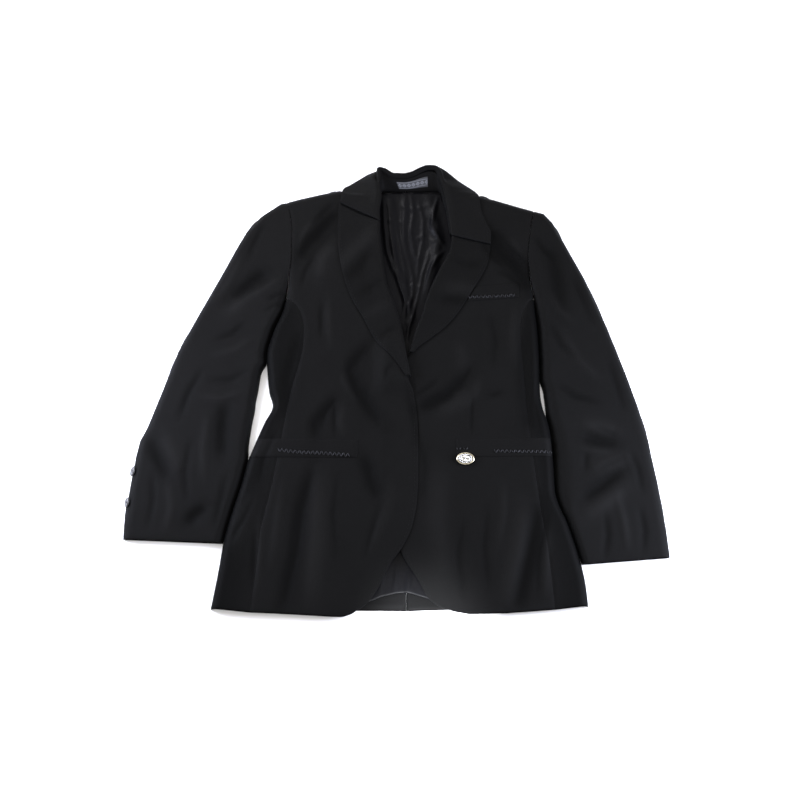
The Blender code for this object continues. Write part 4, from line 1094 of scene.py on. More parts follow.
class Finish(Enum):
    """The finishes of the blazer."""

    CLOTH = Twill()
    SATIN = Satin()
    LABEL = LabelTape()
    RESIN = Speckled("cloudy_resin", (0.012, 0.012, 0.014), (0.035, 0.034, 0.036), (3.5, 3.0, 0.35, 0.7),
                     0.5, 0.015, (0.26, 0.12), coat=(0.2, 0.1))
    METAL = Speckled("gilt_plate", (0.30, 0.255, 0.165), (0.62, 0.57, 0.44), rough=(0.22, 0.16), **PLATE)
    SILVER = Speckled("silver_stones", (0.40, 0.40, 0.39), (0.72, 0.71, 0.68), rough=(0.12, 0.16), **PLATE)
    BEADS = Speckled("pewter_beads", (0.014, 0.014, 0.015), (0.036, 0.036, 0.039), rough=(0.36, 0.16), **PLATE)
    THREAD = Speckled("black_thread", (0.0012, 0.0012, 0.0013), (0.0030, 0.0030, 0.0033), (0.3, 2.0, 0.3, 0.7),
                      0.3, 0.05, (0.6, 0.1), specular=0.09, sheen=0.01)

    def paint(self, thing: bpy.types.Object) -> None:
        """Gives an object this finish, made once and shared."""
        if self not in PAINTS:
            PAINTS[self] = self.value.material()
        thing.data.materials.append(PAINTS[self])


PAINTS: dict[Finish, bpy.types.Material] = {}


def hand_over(thing: bpy.types.Object, finish: Finish, *nodes: str) -> bpy.types.Object:
    """Paints a piece, lets it ride, and hides the frame's nodes that it stands for.

    Args:
        thing: The piece.
        finish: Its finish.
        *nodes: The frame's nodes that it replaces.

    Returns:
        The piece.
    """
    finish.paint(thing)
    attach(thing, "root")
    if nodes:
        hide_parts(*nodes)
    LOG.info("%s: %d faces", thing.name, len(thing.data.polygons))
    return thing


def lay_cloth(wall: ClothWall, finish: Finish, *rests_on: str, inner: Array | None = None) -> None:
    """Makes a piece of cloth that takes the place of the frame's node of the same name.

    Args:
        wall: The cloth.
        finish: Its finish.
        *rests_on: What it lies on; not used.
        inner: Its inner face, where that isn't the outer one moved in.
    """
    node = wall.name
    wall.name = f"{node}_cloth"
    thing = hand_over(wall.make(inner), finish, node)
    width, length = wall.cut
    min(wall.area, width * length)


def lay_flat(name: str, plan: Array, waves: Pair) -> None:
    """Lays a piece flat on the floor, its outer face rippled by the product of a sine across and one up.

    Args:
        name: The frame's node.
        plan: Its plan.
        waves: Lengths of the two sines, for each radian.
    """
    x, y = places(plan)
    ripple = RIPPLE * np.sin(x / waves[0]) * np.sin(y / waves[1])
    outer = raise_plan(plan, FORM.back_cloth - RIPPLE_ROOM + ripple)
    lay_cloth(ClothWall(name, outer, FORM.back_cloth, {"bottom": Border.TURNED}), Finish.CLOTH, "floor",
              inner=raise_plan(plan, np.zeros(x.shape)))


def patch(left: Array, right: Array, shares: Array, climb: Array, bottom: Curve | None, top: Curve | None) -> Array:
    """Plan of a four-sided panel.

    Each row runs straight from left to right. The bottom and top curves bend the rows near them, with the
    fourth power of the way from the far end.

    Args:
        left: Points up the left side.
        right: Points up the right side.
        shares: Shares across, the same for each row.
        climb: Share of the way up of each row.
        bottom: Curve of the lower end, or none.
        top: Curve of the upper end, or none.

    Returns:
        The grid of plan points.
    """
    plan = between(left, right, shares[None])
    for curve, row, weight in ((bottom, 0, (1 - climb) ** 4), (top, -1, climb ** 4)):
        if curve is not None:
            plan = plan + weight[:, None, None] * (curve.along(shares) - plan[row])
    return plan


@dataclass
class Body:
    """Fronts, side panels and backs."""

    cell: float = 3.2
    rows: int = 210
    front_width: float = 230.0
    lapel_tuck: float = 4.4
    tuck_lead: float = 24.0
    tuck_run: float = 20.0
    roll_steps: int = 9
    panel_steps: int = 18
    panel_marks: Pair = (0.96, 0.99)
    # Painted shade at the side panel's foot, in the sleeve's shadow, and the power with which it fades to the seam
    panel_shade: float = 3.0
    shade_power: float = 0.7
    back_rows: int = 64
    back_steps: int = 61
    crown_rows: int = 6
    back_waves: Pair = (17.0, 23.0)
    shoulder_room: float = 4.0
    crown_room: float = 2.5
    sleeve_start: float = 20.0
    centre_hem: float = -320.5
    back_seam_x: float = 9.0
    neck_y: float = 356.0

    def front(self, side: Side) -> Array:
        """A front, from the side seam and the armhole to the front edge and the lapel's roll line."""
        y, climb = FORM.skirt_rows(side, self.rows)
        outer_x = np.where(y <= FORM.underarm_y, SIDE_SEAM[side].value(y), FORM.edge_x(side, y))
        outer = np.stack([outer_x - side.value * FORM.seam / 2, y], -1)
        low, high = FRONT_EDGE[side].ends
        inner_y = low + ratio(y) * (high - low)
        tuck = self.lapel_tuck * rise(inner_y, LAPEL_BREAK[side][0] - self.tuck_lead, self.tuck_run)
        inner = np.stack([FORM.front_x(side, inner_y) + side.value * tuck, inner_y], -1)
        shares = fine_steps(self.front_width, self.cell, EDGE_ROWS, EDGE_ROWS)
        if side is Side.LEFT:
            outer, inner, shares = inner, outer, 1 - shares[::-1]
        plan = patch(outer, inner, shares, climb, FRONT_HEM[side], SHOULDER[side])
        height = FORM.surface(side, *places(plan))
        height[-1] = 0.0
        return raise_plan(plan, height)

    def side_panel(self, side: Side) -> Array:
        """The strip under the arm, which rolls from the side seam down to the floor."""
        y, climb = FORM.skirt_rows(side, self.rows)
        under = y <= FORM.underarm_y + 0.1
        y, fade = y[under], (1 - climb[under]) ** 4
        foot = np.stack([FORM.edge_x(side, y), y], -1)
        seam = np.stack([SIDE_SEAM[side].value(y) + side.value * FORM.seam / 2, y], -1)
        rolled = roll_shares(FORM.side_roll, np.abs(seam[:, 0] - foot[:, 0]), self.roll_steps)
        even = np.sort(np.append(np.linspace(0.0, 1.0, self.panel_steps), self.panel_marks))
        shares = np.concatenate([rolled[:, :-1], rolled[:, -1:] + (1 - rolled[:, -1:]) * even[None]], 1)
        low, high = SIDE_HEM[side]
        foot[:, 1] += (low - FORM.hem_y) * fade
        foot[:, 0] = FORM.edge_x(side, foot[:, 1])
        seam[:, 1] += (high - FORM.hem_y) * fade
        plan = between(foot, seam, shares)
        height = FORM.bed(*places(plan))
        height[:, 0] = FORM.plateau(plan[:, 0, 0], y) * FORM.keep(y)
        return raise_plan(plan, height)

    def back(self, side: Side) -> Array:
        """Plan of half the back, flat on the floor inside the feet of the side panel and the shoulder."""
        inset = FORM.cloth + FORM.slip
        y = FORM.skirt_rows(side, self.back_rows)[0][:-2].copy()
        y[-1] = FORM.crown_y(side) - inset - self.shoulder_room
        y[-self.crown_rows:] = np.linspace(y[-self.crown_rows], y[-1], self.crown_rows)
        reach = np.where(y > FORM.underarm_y + self.sleeve_start, FORM.sleeve_seam / 2, inset)
        y[0] = BACK_HEM[side]
        outer = np.stack([FORM.edge_x(side, y) - side.value * reach, y], -1)
        centre_y = self.centre_hem + ratio(y) * (self.neck_y - self.centre_hem)
        centre = np.stack([np.full(len(y), self.back_seam_x + side.value * FORM.seam / 2), centre_y], -1)
        crown = tuple((x, line_y - inset - self.crown_room) for x, line_y in SHOULDER[side].rows)[1:-1]
        shares, climb = np.linspace(0.0, 1.0, self.back_steps), np.linspace(0.0, 1.0, len(y))
        if side is Side.RIGHT:
            top = Curve((tuple(outer[-1]), *crown, *BACK_NECK[side], tuple(centre[-1])))
            return patch(outer, centre, shares, climb, None, top)
        top = Curve((tuple(centre[-1]), *BACK_NECK[side], *crown, tuple(outer[-1])))
        return patch(centre, outer, shares, climb, None, top)

    def build(self) -> dict[Side, Array]:
        """Builds the six panels of the body and gives the fronts' outer faces."""
        faces = {}
        for side in Side:
            faces[side] = front = self.front(side)
            seam, edge = ("start", "end") if side is Side.RIGHT else ("end", "start")
            borders = {seam: Border.SEWN, edge: Border.TURNED, "bottom": Border.TURNED}
            under = ["back_left"] if side is Side.LEFT else ["back_right", "front_left_cloth"]
            # Each front takes the painted shade of the body's folds into its colour
            lay_cloth(ClothWall(f"front_{side.word}", front, FORM.cloth, borders, FORM.lie(*places(front))),
                      Finish.CLOTH, *under)
            panel = self.side_panel(side)
            # Painted shade: the side panel's colour darkens towards its foot, in the shadow of the sleeve's edge
            shade = self.panel_shade * np.linspace(1.0, 0.0, panel.shape[1]) ** self.shade_power
            lay_cloth(ClothWall(f"side_panel_{side.word}", panel, FORM.cloth,
                                {"end": Border.SEWN, "bottom": Border.TURNED}, FORM.lie(*places(panel)) - shade),
                      Finish.CLOTH, "floor")
            lay_flat(f"back_{side.word}", self.back(side), self.back_waves)
        return faces


@dataclass
class Sleeve:
    """One sleeve: its upper half, rolled to the floor on both sides, and its flat under half."""

    side: Side
    rows: int = 210
    roll_steps: int = 10
    middle_steps: int = 37
    cuff_rows: Pair = (1.0, 2.5)
    least_lean: float = 0.35
    under_steps: int = 31
    under_end: int = 26
    under_skip: int = 3
    under_waves: Pair = (15.0, 19.0)

    def upper(self) -> Array:
        """The upper half.

        The height is the arm's own, eased into the body's at the armhole, with the folds, and rounded down
        at the inner and the outer edge.

        Returns:
            The grid of its outer face.
        """
        side = self.side
        cuff_inner, cuff_outer = CUFF[side]
        y, _ = FORM.skirt_rows(side, self.rows)
        first, next_row = self.cuff_rows
        y = np.concatenate([[cuff_inner, cuff_inner + first], y[y > cuff_inner + next_row]])
        outer_y = cuff_outer + ratio(y) * (SLEEVE_TIP[side] - cuff_outer)
        outer = np.stack([SLEEVE_EDGE[side].value(outer_y), outer_y], -1)
        gap = FORM.sleeve_seam + SLEEVE_GAP[side].value(y)
        inner = np.stack([FORM.edge_x(side, y) + side.value * gap, y], -1)
        width = np.linalg.norm(outer - inner, axis=-1)
        inner_roll = SLEEVE_ROLL[side].value(y)
        start = roll_shares(FORM.side_roll, width, self.roll_steps)
        end = 1 - roll_shares(inner_roll, width, self.roll_steps)[:, ::-1]
        middle = start[:, -1:] + (end[:, :1] - start[:, -1:]) * np.linspace(0.0, 1.0, self.middle_steps)[None, 1:-1]
        plan = between(outer, inner, np.concatenate([start, middle, end], 1))
        x, plan_y = places(plan)
        from_body = np.abs(x - inner[:, :1])
        own = smooth(from_body / FORM.arm_blend)
        flat = FORM.plateau(FORM.edge_x(side, plan_y), plan_y) * (1 - own) + FORM.arm.value(plan_y) * own
        flat = flat + draped(x, plan_y, SLEEVE_FOLDS[side], SLEEVE_CREASES[side])
        height = flat * FORM.rounded(side, x, plan_y, from_body / inner_roll[:, None])
        height[:, 0] = 0.0
        height[-1] = 0.0
        return raise_plan(plan, height)

    def under(self, upper: Array) -> Array:
        """Plan of the under half, inside the feet of the upper one."""
        inset = FORM.cloth + FORM.slip
        outer, inner = upper[:, 0, :2], upper[:, -1, :2]
        run = unit(inner - outer)
        slope = np.gradient(outer, axis=0)
        lean = np.abs(slope[:, 1]) / np.linalg.norm(slope, axis=-1)
        start = outer + run * (inset / np.maximum(lean, self.least_lean))[:, None]
        plan = between(start, inner - run * inset, np.linspace(0.0, 1.0, self.under_steps)[None])
        return plan[:-self.under_end:self.under_skip]

    def build(self) -> Array:
        """Builds both halves and gives the upper one's outer face."""
        upper = self.upper()
        # Painted shade of the sleeve's folds, spread a little wider than they are
        lie = draped(*places(upper), SLEEVE_FOLDS[self.side], SLEEVE_CREASES[self.side], shade=True)
        lay_cloth(ClothWall(f"upper_sleeve_{self.side.word}", upper, FORM.cloth, {"bottom": Border.TURNED}, lie),
                  Finish.CLOTH, "floor")
        lay_flat(f"under_sleeve_{self.side.word}", self.under(upper), self.under_waves)
        return upper


@dataclass
class Lapels:
    """The two lapels, which turn over at the roll line and lie on the fronts."""

    rows: int = 110
    lip: Curve = Curve(((0, 0.25, -0.35), (1, 0.0, 0.45), (2, 0.3, 0.8), (3, 1.0, 1.0)))
    lip_steps: int = 13
    gorge_rows: Pair = (0.8, 2.2)
    steps: int = 30
    free_marks: Triple = (0.975, 0.99, 1.0)
    roll_turn: float = 3.0
    turn_limit: float = 0.3
    settle: float = 38.0
    settle_limit: float = 0.8
    room: float = 0.1
    roll_fade: float = 8.0
    edge_fade: float = 9.0
    # Painted shade of the lapels: a share of the body's fold shade, the pinches' own, and an even darkening
    front_shade: float = 0.5
    pinch_shade: float = 1.5
    shade_base: float = 0.6

    def face(self, side: Side) -> Array:
        """Outer face of a lapel.

        A short lip rises inside the neck opening to the roll line. From there the height eases from the
        roll's own down to the cloth of the lapel and its slip over the front.

        Args:
            side: The side of the wearer.

        Returns:
            The grid, from the lip to the free edge and from the break to the gorge.
        """
        low_y, high_y = LAPEL_BREAK[side]
        length = high_y - low_y
        y = low_y + length * fine_steps(length, length / self.rows, (), self.gorge_rows)
        free_y = low_y + ratio(y) * (LAPEL_EDGE[side].ends[1] - low_y)
        roll = np.stack([FORM.front_x(side, y), y], -1)
        free = np.stack([LAPEL_EDGE[side].value(free_y), free_y], -1)
        width = np.linalg.norm(free - roll, axis=-1)[:, None]
        turn = np.minimum(self.roll_turn, self.turn_limit * width)
        marks = np.linspace(0.0, self.lip.ends[1], self.lip_steps)
        rest = even_steps(self.steps, self.free_marks)
        out = np.concatenate([turn * self.lip.value(marks)[None], turn + (width - turn) * rest[None]], 1)
        shares = out / width
        plan = between(roll, free, shares)
        top = LAPEL_TOP[side].along(np.clip(shares[-1], 0, 1))
        plan = plan + ratio(y)[:, None, None] ** 4 * (top - plan[-1])
        high = FORM.roll.value(y)[:, None]
        settle = smooth(out / np.minimum(self.settle, self.settle_limit * width))
        low = FORM.slip + FORM.lapel_cloth + self.room
        height = FORM.surface(side, *places(plan)) + high * (1 - settle) + low * settle
        start = FORM.surface(side, *places(plan[:, self.lip_steps - 1]))[:, None]
        height[:, :self.lip_steps] = start + high * self.lip.value(marks, 2)[None]
        pinches = np.maximum(folded(*places(plan), LAPEL_FOLDS), -self.settle_limit * (1 - settle) * high)
        fade = smooth(out / self.roll_fade) * smooth((width - out) / self.edge_fade)
        return raise_plan(plan, height + pinches * fade)

    def build(self) -> dict[Side, Array]:
        """Builds both lapels and gives their outer faces."""
        faces = {}
        for side in Side:
            faces[side] = face = self.face(side)
            # The lapel's colour takes painted shade from the body's folds, its pinches and an even darkening
            pinches = self.pinch_shade * folded(*places(face), LAPEL_FOLDS, FOLD_SHADE)
            lie = self.front_shade * FORM.lie(*places(face)) + pinches - self.shade_base
            lay_cloth(ClothWall(f"lapel_{side.word}", face, FORM.lapel_cloth,
                                {"end": Border.TURNED, "top": Border.SEWN}, lie),
                      Finish.CLOTH, f"front_{side.word}_cloth")
        return faces


@dataclass
class Collar:
    """The collar: its fall, the stand inside the neck, and the label on the stand."""

    sections: int = 150
    roll: Curve = Curve((
        (-31, 288, 27), (-32, 305, 27), (-29, 333, 27), (-31, 352, 28), (-33, 366, 29), (-33, 379, 30),
        (-25, 377, 29), (-10, 370, 26), (6, 370, 25), (19, 373, 25), (32, 379, 27), (44, 383, 28), (57, 381, 30),
        (64, 371, 29), (66, 358, 28), (69, 340, 27), (73, 317, 27), (76, 296, 27), (78, 275, 27), (80, 263, 27)))
    edge: Curve = Curve((
        (-95, 321, 23), (-93, 331, 24), (-92, 341, 22), (-89, 350, 17), (-80, 358, 12), (-66, 369, 9),
        (-50, 380, 7), (-37, 385, 4), (-22, 375, 2.4), (-6, 369, 2.4), (10, 369, 2.4), (28, 373, 2.4),
        (46, 379, 2.4), (66, 380, 4), (86, 371, 7), (104, 359, 10), (119, 345, 15), (125, 334, 21.5),
        (128, 309, 23), (135, 288, 23), (143, 268, 23), (142, 250, 23)))
    profile: Curve = Curve((
        (0, 0.8, 8.0, -4.8, 5.4), (1, 0.0, 3.4, -2.8, 2.5), (2, 0.8, 1.0, -0.8, 0.5), (3, 3.0, 0.0, 1.3, 0.4),
        (4, 6.0, -0.4, 3.1, 2.0), (5, 10.0, -0.5, 4.4, 5.0)))
    seam: Curve = Curve((
        (-35, 292, 4), (-34, 330, 4), (-32, 344, 4.4), (-26, 350, 5), (-10, 350, 4.6), (6, 349.5, 4.6),
        (22, 350, 4.6), (38, 350.5, 4.6), (60, 350, 4.8), (65, 345, 4.4), (67, 335, 4), (73, 312, 4),
        (79, 270, 4)))
    stand_top: Curve = Curve((
        (-33, 292, 18), (-31.5, 330, 18), (-31.5, 352, 20), (-32, 365, 22.5), (-30.5, 374, 23.5),
        (-21, 372.5, 22.5), (-10, 366.5, 19.5), (6, 366, 18.5), (19, 369, 18.5), (32, 374, 20.5), (44, 377, 21.5),
        (54, 376, 22.5), (61, 370, 22), (65, 358, 20), (69, 338, 18.5), (74, 312, 18), (79, 270, 18)))
    turn_steps: int = 21
    fall_steps: int = 20
    free_marks: Triple = (0.97, 0.99, 1.0)
    stand_grid: tuple[int, int] = (80, 14)
    label_grid: tuple[int, int] = (60, 18)
    behind_span: Pair = (346.0, 20.0)
    room_span: Pair = (300.0, 24.0)
    room: Pair = (0.8, 1.4)
    back_y: float = 344.0
    bulge: float = 2.5
    hollow: float = 1.5
    corner: Pair = (0.24, 0.06)
    corner_dip: float = 1.6
    label_ends: Pair = (0.38, 0.57)
    label_climb: Pair = (0.24, 0.76)
    label_slip: float = 0.35
    label_cloth: float = 0.6

    def fall(self) -> Array:
        """Outer face of the fall.

        Each section runs round the roll edge through the places of the profile, given beside the neck and
        behind it, and then on to the free edge, never lower than the cloth that it lies on. At the corner
        it drops later, with a higher power of the way.

        Returns:
            The grid, from the lip to the free edge and once round the neck.
        """
        shares = np.linspace(0.0, 1.0, self.sections)
        roll, free = self.roll.along(shares), self.edge.along(shares)
        behind = rise(roll[:, 1:2], *self.behind_span)
        tangent = unit(np.gradient(roll[:, :2], axis=0))
        square = np.stack([-tangent[:, 1], tangent[:, 0]], -1)
        across = unit((free - roll)[:, :2]) * (1 - behind) + square * behind
        marks = np.linspace(0.0, self.profile.ends[1], self.turn_steps)
        beside_out, beside_drop, behind_out, behind_drop = (self.profile.value(marks, k) for k in range(1, 5))
        out = beside_out * (1 - behind) + behind_out * behind
        drop = beside_drop * (1 - behind) + behind_drop * behind
        turned = raise_plan(roll[:, None, :2] + across[:, None] * out[..., None], roll[:, 2:] - drop)
        share = even_steps(self.fall_steps, self.free_marks)[None]
        lying = between(turned[:, -1], free, share)
        corner = np.exp(-((shares[:, None] - self.corner[0]) / self.corner[1]) ** 2)
        fall = share ** (1 + self.corner_dip * corner)
        lying[..., 2] = turned[:, -1:, 2] * (1 - fall) + free[:, None, 2] * fall
        lying[..., :2] += across[:, None] * self.bulge * behind[:, None] * np.sin(math.pi * share)[..., None]
        x, y = places(lying)
        room = FORM.slip + self.room[0] + self.room[1] * rise(y, *self.room_span)
        rest = FORM.bed(x, y) + FORM.lapel_cloth + room
        lying[..., 2] = np.maximum(lying[..., 2], np.where(y > self.back_y, 0.0, rest))
        return np.concatenate([turned, lying], 1)

    def stand(self, shares: Array, climbs: Array) -> Array:
        """Upright part of the collar, from the neck seam up to just below the lip of the fall."""
        grid = between(self.seam.along(shares), self.stand_top.along(shares), climbs[None])
        grid[..., 1] -= self.hollow * np.sin(math.pi * climbs[None])
        return grid

    def build(self) -> Array:
        """Builds the fall, the stand and the label, and gives the fall's outer face."""
        fall = self.fall()
        lay_cloth(ClothWall("collar_fall", fall, FORM.lapel_cloth,
                            {"end": Border.TURNED, "bottom": Border.SEWN, "top": Border.SEWN}),
                  Finish.CLOTH, "front_right_cloth", "front_left_cloth")
        stand = self.stand(*(np.linspace(0.0, 1.0, count) for count in self.stand_grid))
        lay_cloth(ClothWall("collar_stand", stand, FORM.lapel_cloth, {"start": Border.SEWN}),
                  Finish.CLOTH, "back_lining_neck_cloth")
        spans = zip((self.label_ends, self.label_climb), self.label_grid)
        skin = self.stand(*(np.linspace(*span, count) for span, count in spans))
        out = normals(skin)
        under = skin + out * self.label_slip
        wall = ClothWall("neck_label", skin + out * (self.label_slip + self.label_cloth), self.label_cloth, ALL_TURNED)
        lay_cloth(wall, Finish.LABEL, "collar_stand_cloth", inner=under)
        return fall


@dataclass
class Linings:
    """The satin that shows in the neck and in the hem opening."""

    reach: float = 22.0
    neck_grid: tuple[int, int] = (120, 90)
    hem_grid: tuple[int, int] = (60, 100)
    neck_ends: Pair = (46.0, 332.0)
    slack: float = 1.4
    neck_top: Points = ((-36, 334), (-28, 347), (20, 348.5), (64, 347), (67, 334))
    corner_y: float = 330.0
    hem_line: Curve = Curve((
        (-80, -312), (-46, -307), (-23, -299), (6, -294), (35, -301), (65, -311), (100, -314)))
    hem_top: float = -205.0
    hem_taper: float = 0.9
    ripple: float = 0.5
    ripple_length: float = 13.0

    @property
    def level(self) -> float:
        """Height of the lining's outer face where it lies flat."""
        return FORM.back_cloth + FORM.layer_slip + FORM.lining_cloth

    def neck(self) -> Array:
        """Slack satin on the back: its flat level, and the ridges that its folds add."""
        rows, cols = self.neck_grid
        y = np.linspace(*self.neck_ends, rows)
        left, right = (np.stack([FORM.front_x(side, y) + side.value * self.reach, y], -1) for side in Side)
        top = Curve(((left[-1, 0], self.corner_y), *self.neck_top, (right[-1, 0], self.corner_y)))
        plan = patch(left, right, np.linspace(0.0, 1.0, cols), np.linspace(0.0, 1.0, rows), None, top)
        slack = np.maximum(folded(*places(plan), LINING_FOLDS), 0.0)
        fine = folded(*places(plan), LINING_CREASES)
        return raise_plan(plan, self.level + np.maximum(self.slack * slack + fine, 0.0))

    def hem(self) -> Array:
        """Satin between the cutaway fronts, over the cloth hem of the back: squared sines and small folds."""
        rows, cols = self.hem_grid
        low = self.hem_line.along(np.linspace(0.0, 1.0, cols))
        top = np.stack([low[:, 0] * self.hem_taper, np.full(len(low), self.hem_top)], -1)
        climb = np.linspace(0.0, 1.0, rows)
        plan = between(low, top, climb[None]).swapaxes(0, 1)
        x, y = places(plan)
        slack = self.ripple * np.sin(x / self.ripple_length) ** 2 * smooth(climb * 2)[:, None]
        return raise_plan(plan, self.level + slack + folded(x, y, HEM_FOLDS))

    def build(self) -> None:
        """Builds both pieces of lining."""
        for name, face, borders in (("neck", self.neck(), {}), ("hem", self.hem(), {"bottom": Border.TURNED})):
            lay_cloth(ClothWall(f"back_lining_{name}", face, FORM.lining_cloth, borders), Finish.SATIN,
                      "back_right_cloth", "back_left_cloth")


@dataclass
class Pockets:
    """The two flaps, the chest welt, and the rows of beads sewn along them."""

    welt: Curve = Curve(((103, 178, 155), (140, 181, 157), (184, 185, 160)))
    welt_size: Pair = (80.0, 24.0)
    lapel_room: float = 2.0
    corner: Pair = (3.0, 7.0)
    bead_rows: tuple[tuple[float, Points], ...] = (
        (3.0, ((-180, -84), (-150, -87), (-120, -88), (-76, -91))),
        (1.6, ((85, -81), (93, -81), (100, -81))),
        (2.7, ((141, -85), (180, -86), (225, -87))),
        (2.6, ((107, 160.5), (140, 161.5), (176, 163))),
    )
    slip: float = 0.35
    cloth: float = 0.9
    cell: float = 1.6
    welt_cell: float = 1.8
    side_rows: tuple[float] = (0.7,)
    roll_steps: int = 6
    flap_steps: int = 60
    flap_marks: Pair = (0.99, 1.0)
    pitch: float = 3.1
    bead: float = 0.62
    lean: float = 0.42
    taper: float = 0.8
    perch: float = 0.8
    turns: int = 8
    rings: int = 7

    def flap(self, side: Side) -> Array:
        """Plan of a flap: its side end follows the roll of the side panel, and its free corner is round."""
        front_end, top, bottom = FLAP[side]
        y = bottom + (top - bottom) * fine_steps(top - bottom, self.cell, self.side_rows, self.side_rows)
        turn = FORM.side_roll * (1 - np.cos(np.linspace(math.pi / 4, math.pi / 2, self.roll_steps)))
        start = FORM.edge_x(side, y)[:, None] - side.value * turn[None]
        wide, high = self.corner
        drop = np.clip((bottom + high - y) / high, 0.0, 1.0)
        end = front_end + side.value * wide * (1 - np.sqrt(1 - drop ** 2))
        flat = even_steps(self.flap_steps, self.flap_marks)
        x = np.concatenate([start, start[:, -1:] * (1 - flat[None]) + end[:, None] * flat[None]], 1)
        return np.stack([x, np.repeat(y[:, None], x.shape[1], axis=1)], -1)

    def chest(self) -> Array:
        """Plan of the chest welt, which starts at the edge of the lapel."""
        share = fine_steps(self.welt_size[0], self.welt_cell, TRIM_ROWS, TRIM_ROWS)
        row = self.welt.along(share)
        climb = fine_steps(self.welt_size[1], self.cell, TRIM_ROWS, TRIM_ROWS)[:, None]
        y = row[None, :, 2] * (1 - climb) + row[None, :, 1] * climb
        start = LAPEL_EDGE[Side.LEFT].value(y[:, 0]) + self.lapel_room
        x = start[:, None] * (1 - share[None]) + self.welt.ends[1] * share[None]
        return np.stack([x, y], -1)

    def lay(self, name: str, side: Side, plan: Array, borders: dict[str, Border]) -> None:
        """Lays a trim on a front: the front's face over its plan, moved out along the normals."""
        skin = raise_plan(plan, FORM.surface(side, *places(plan)))
        out = normals(skin)
        # The trim takes the front's painted fold shade into its colour
        lay_cloth(ClothWall(name, skin + out * (self.slip + self.cloth), self.cloth, borders, FORM.lie(*places(plan))),
                  Finish.CLOTH, f"front_{side.word}_cloth", inner=skin + out * self.slip)

    def beads(self) -> None:
        """Sews the beads on: long barrels at even steps, which lean to either side by turns.

        A barrel's radius is the bead's, times the root of one less the taper times the squared share of
        the way from its middle to its end.
        """
        turn, share = np.meshgrid(full_turn(self.turns), np.linspace(-1.0, 1.0, self.rings))
        radius = self.bead * np.sqrt(1 - self.taper * share ** 2)
        index, _ = ring_indices(*turn.shape)
        caps = np.concatenate([index[:1, ::-1], index[-1:]])
        for number, (reach, row) in enumerate(self.bead_rows, start=1):
            barrel = np.stack([np.cos(turn) * radius, np.sin(turn) * radius, share * reach], -1).reshape(-1, 3)
            count = int(run_lengths(row)[-1] / self.pitch)
            x, y = places(Curve(row).along(np.linspace(0.0, 1.0, count)))
            side = Side.RIGHT if row[0][0] < 0 else Side.LEFT
            lean = np.where(np.arange(count) % 2, self.lean, -self.lean)
            across = (FORM.surface(side, x + 1.0, y) - FORM.surface(side, x - 1.0, y)) / 2
            along = (FORM.surface(side, x, y + 1.0) - FORM.surface(side, x, y - 1.0)) / 2
            foot = FORM.surface(side, x, y) + self.slip + self.cloth + self.bead * self.perch
            ahead = unit(np.stack([np.sin(lean), np.cos(lean), across * np.sin(lean) + along * np.cos(lean)], -1))
            aside = unit(np.cross([0.0, 0.0, 1.0], ahead))
            basis = np.stack([aside, np.cross(ahead, aside), ahead], 1)
            points = barrel @ basis + np.stack([x, y, foot], -1)[:, None]
            faces = (copies(group, turn.size, count) for group in (tube_faces(*turn.shape), caps))
            hand_over(to_mesh(f"bead_row_{number}", points, *faces), Finish.BEADS)

    def build(self) -> None:
        """Builds the flaps, the welt and the beads."""
        free = {"bottom": Border.SEWN, "end": Border.SEWN, "top": Border.TURNED}
        for side in Side:
            self.lay(f"pocket_flap_{side.word}", side, self.flap(side), free)
        self.lay("chest_welt", Side.LEFT, self.chest(), ALL_TURNED)
        self.beads()


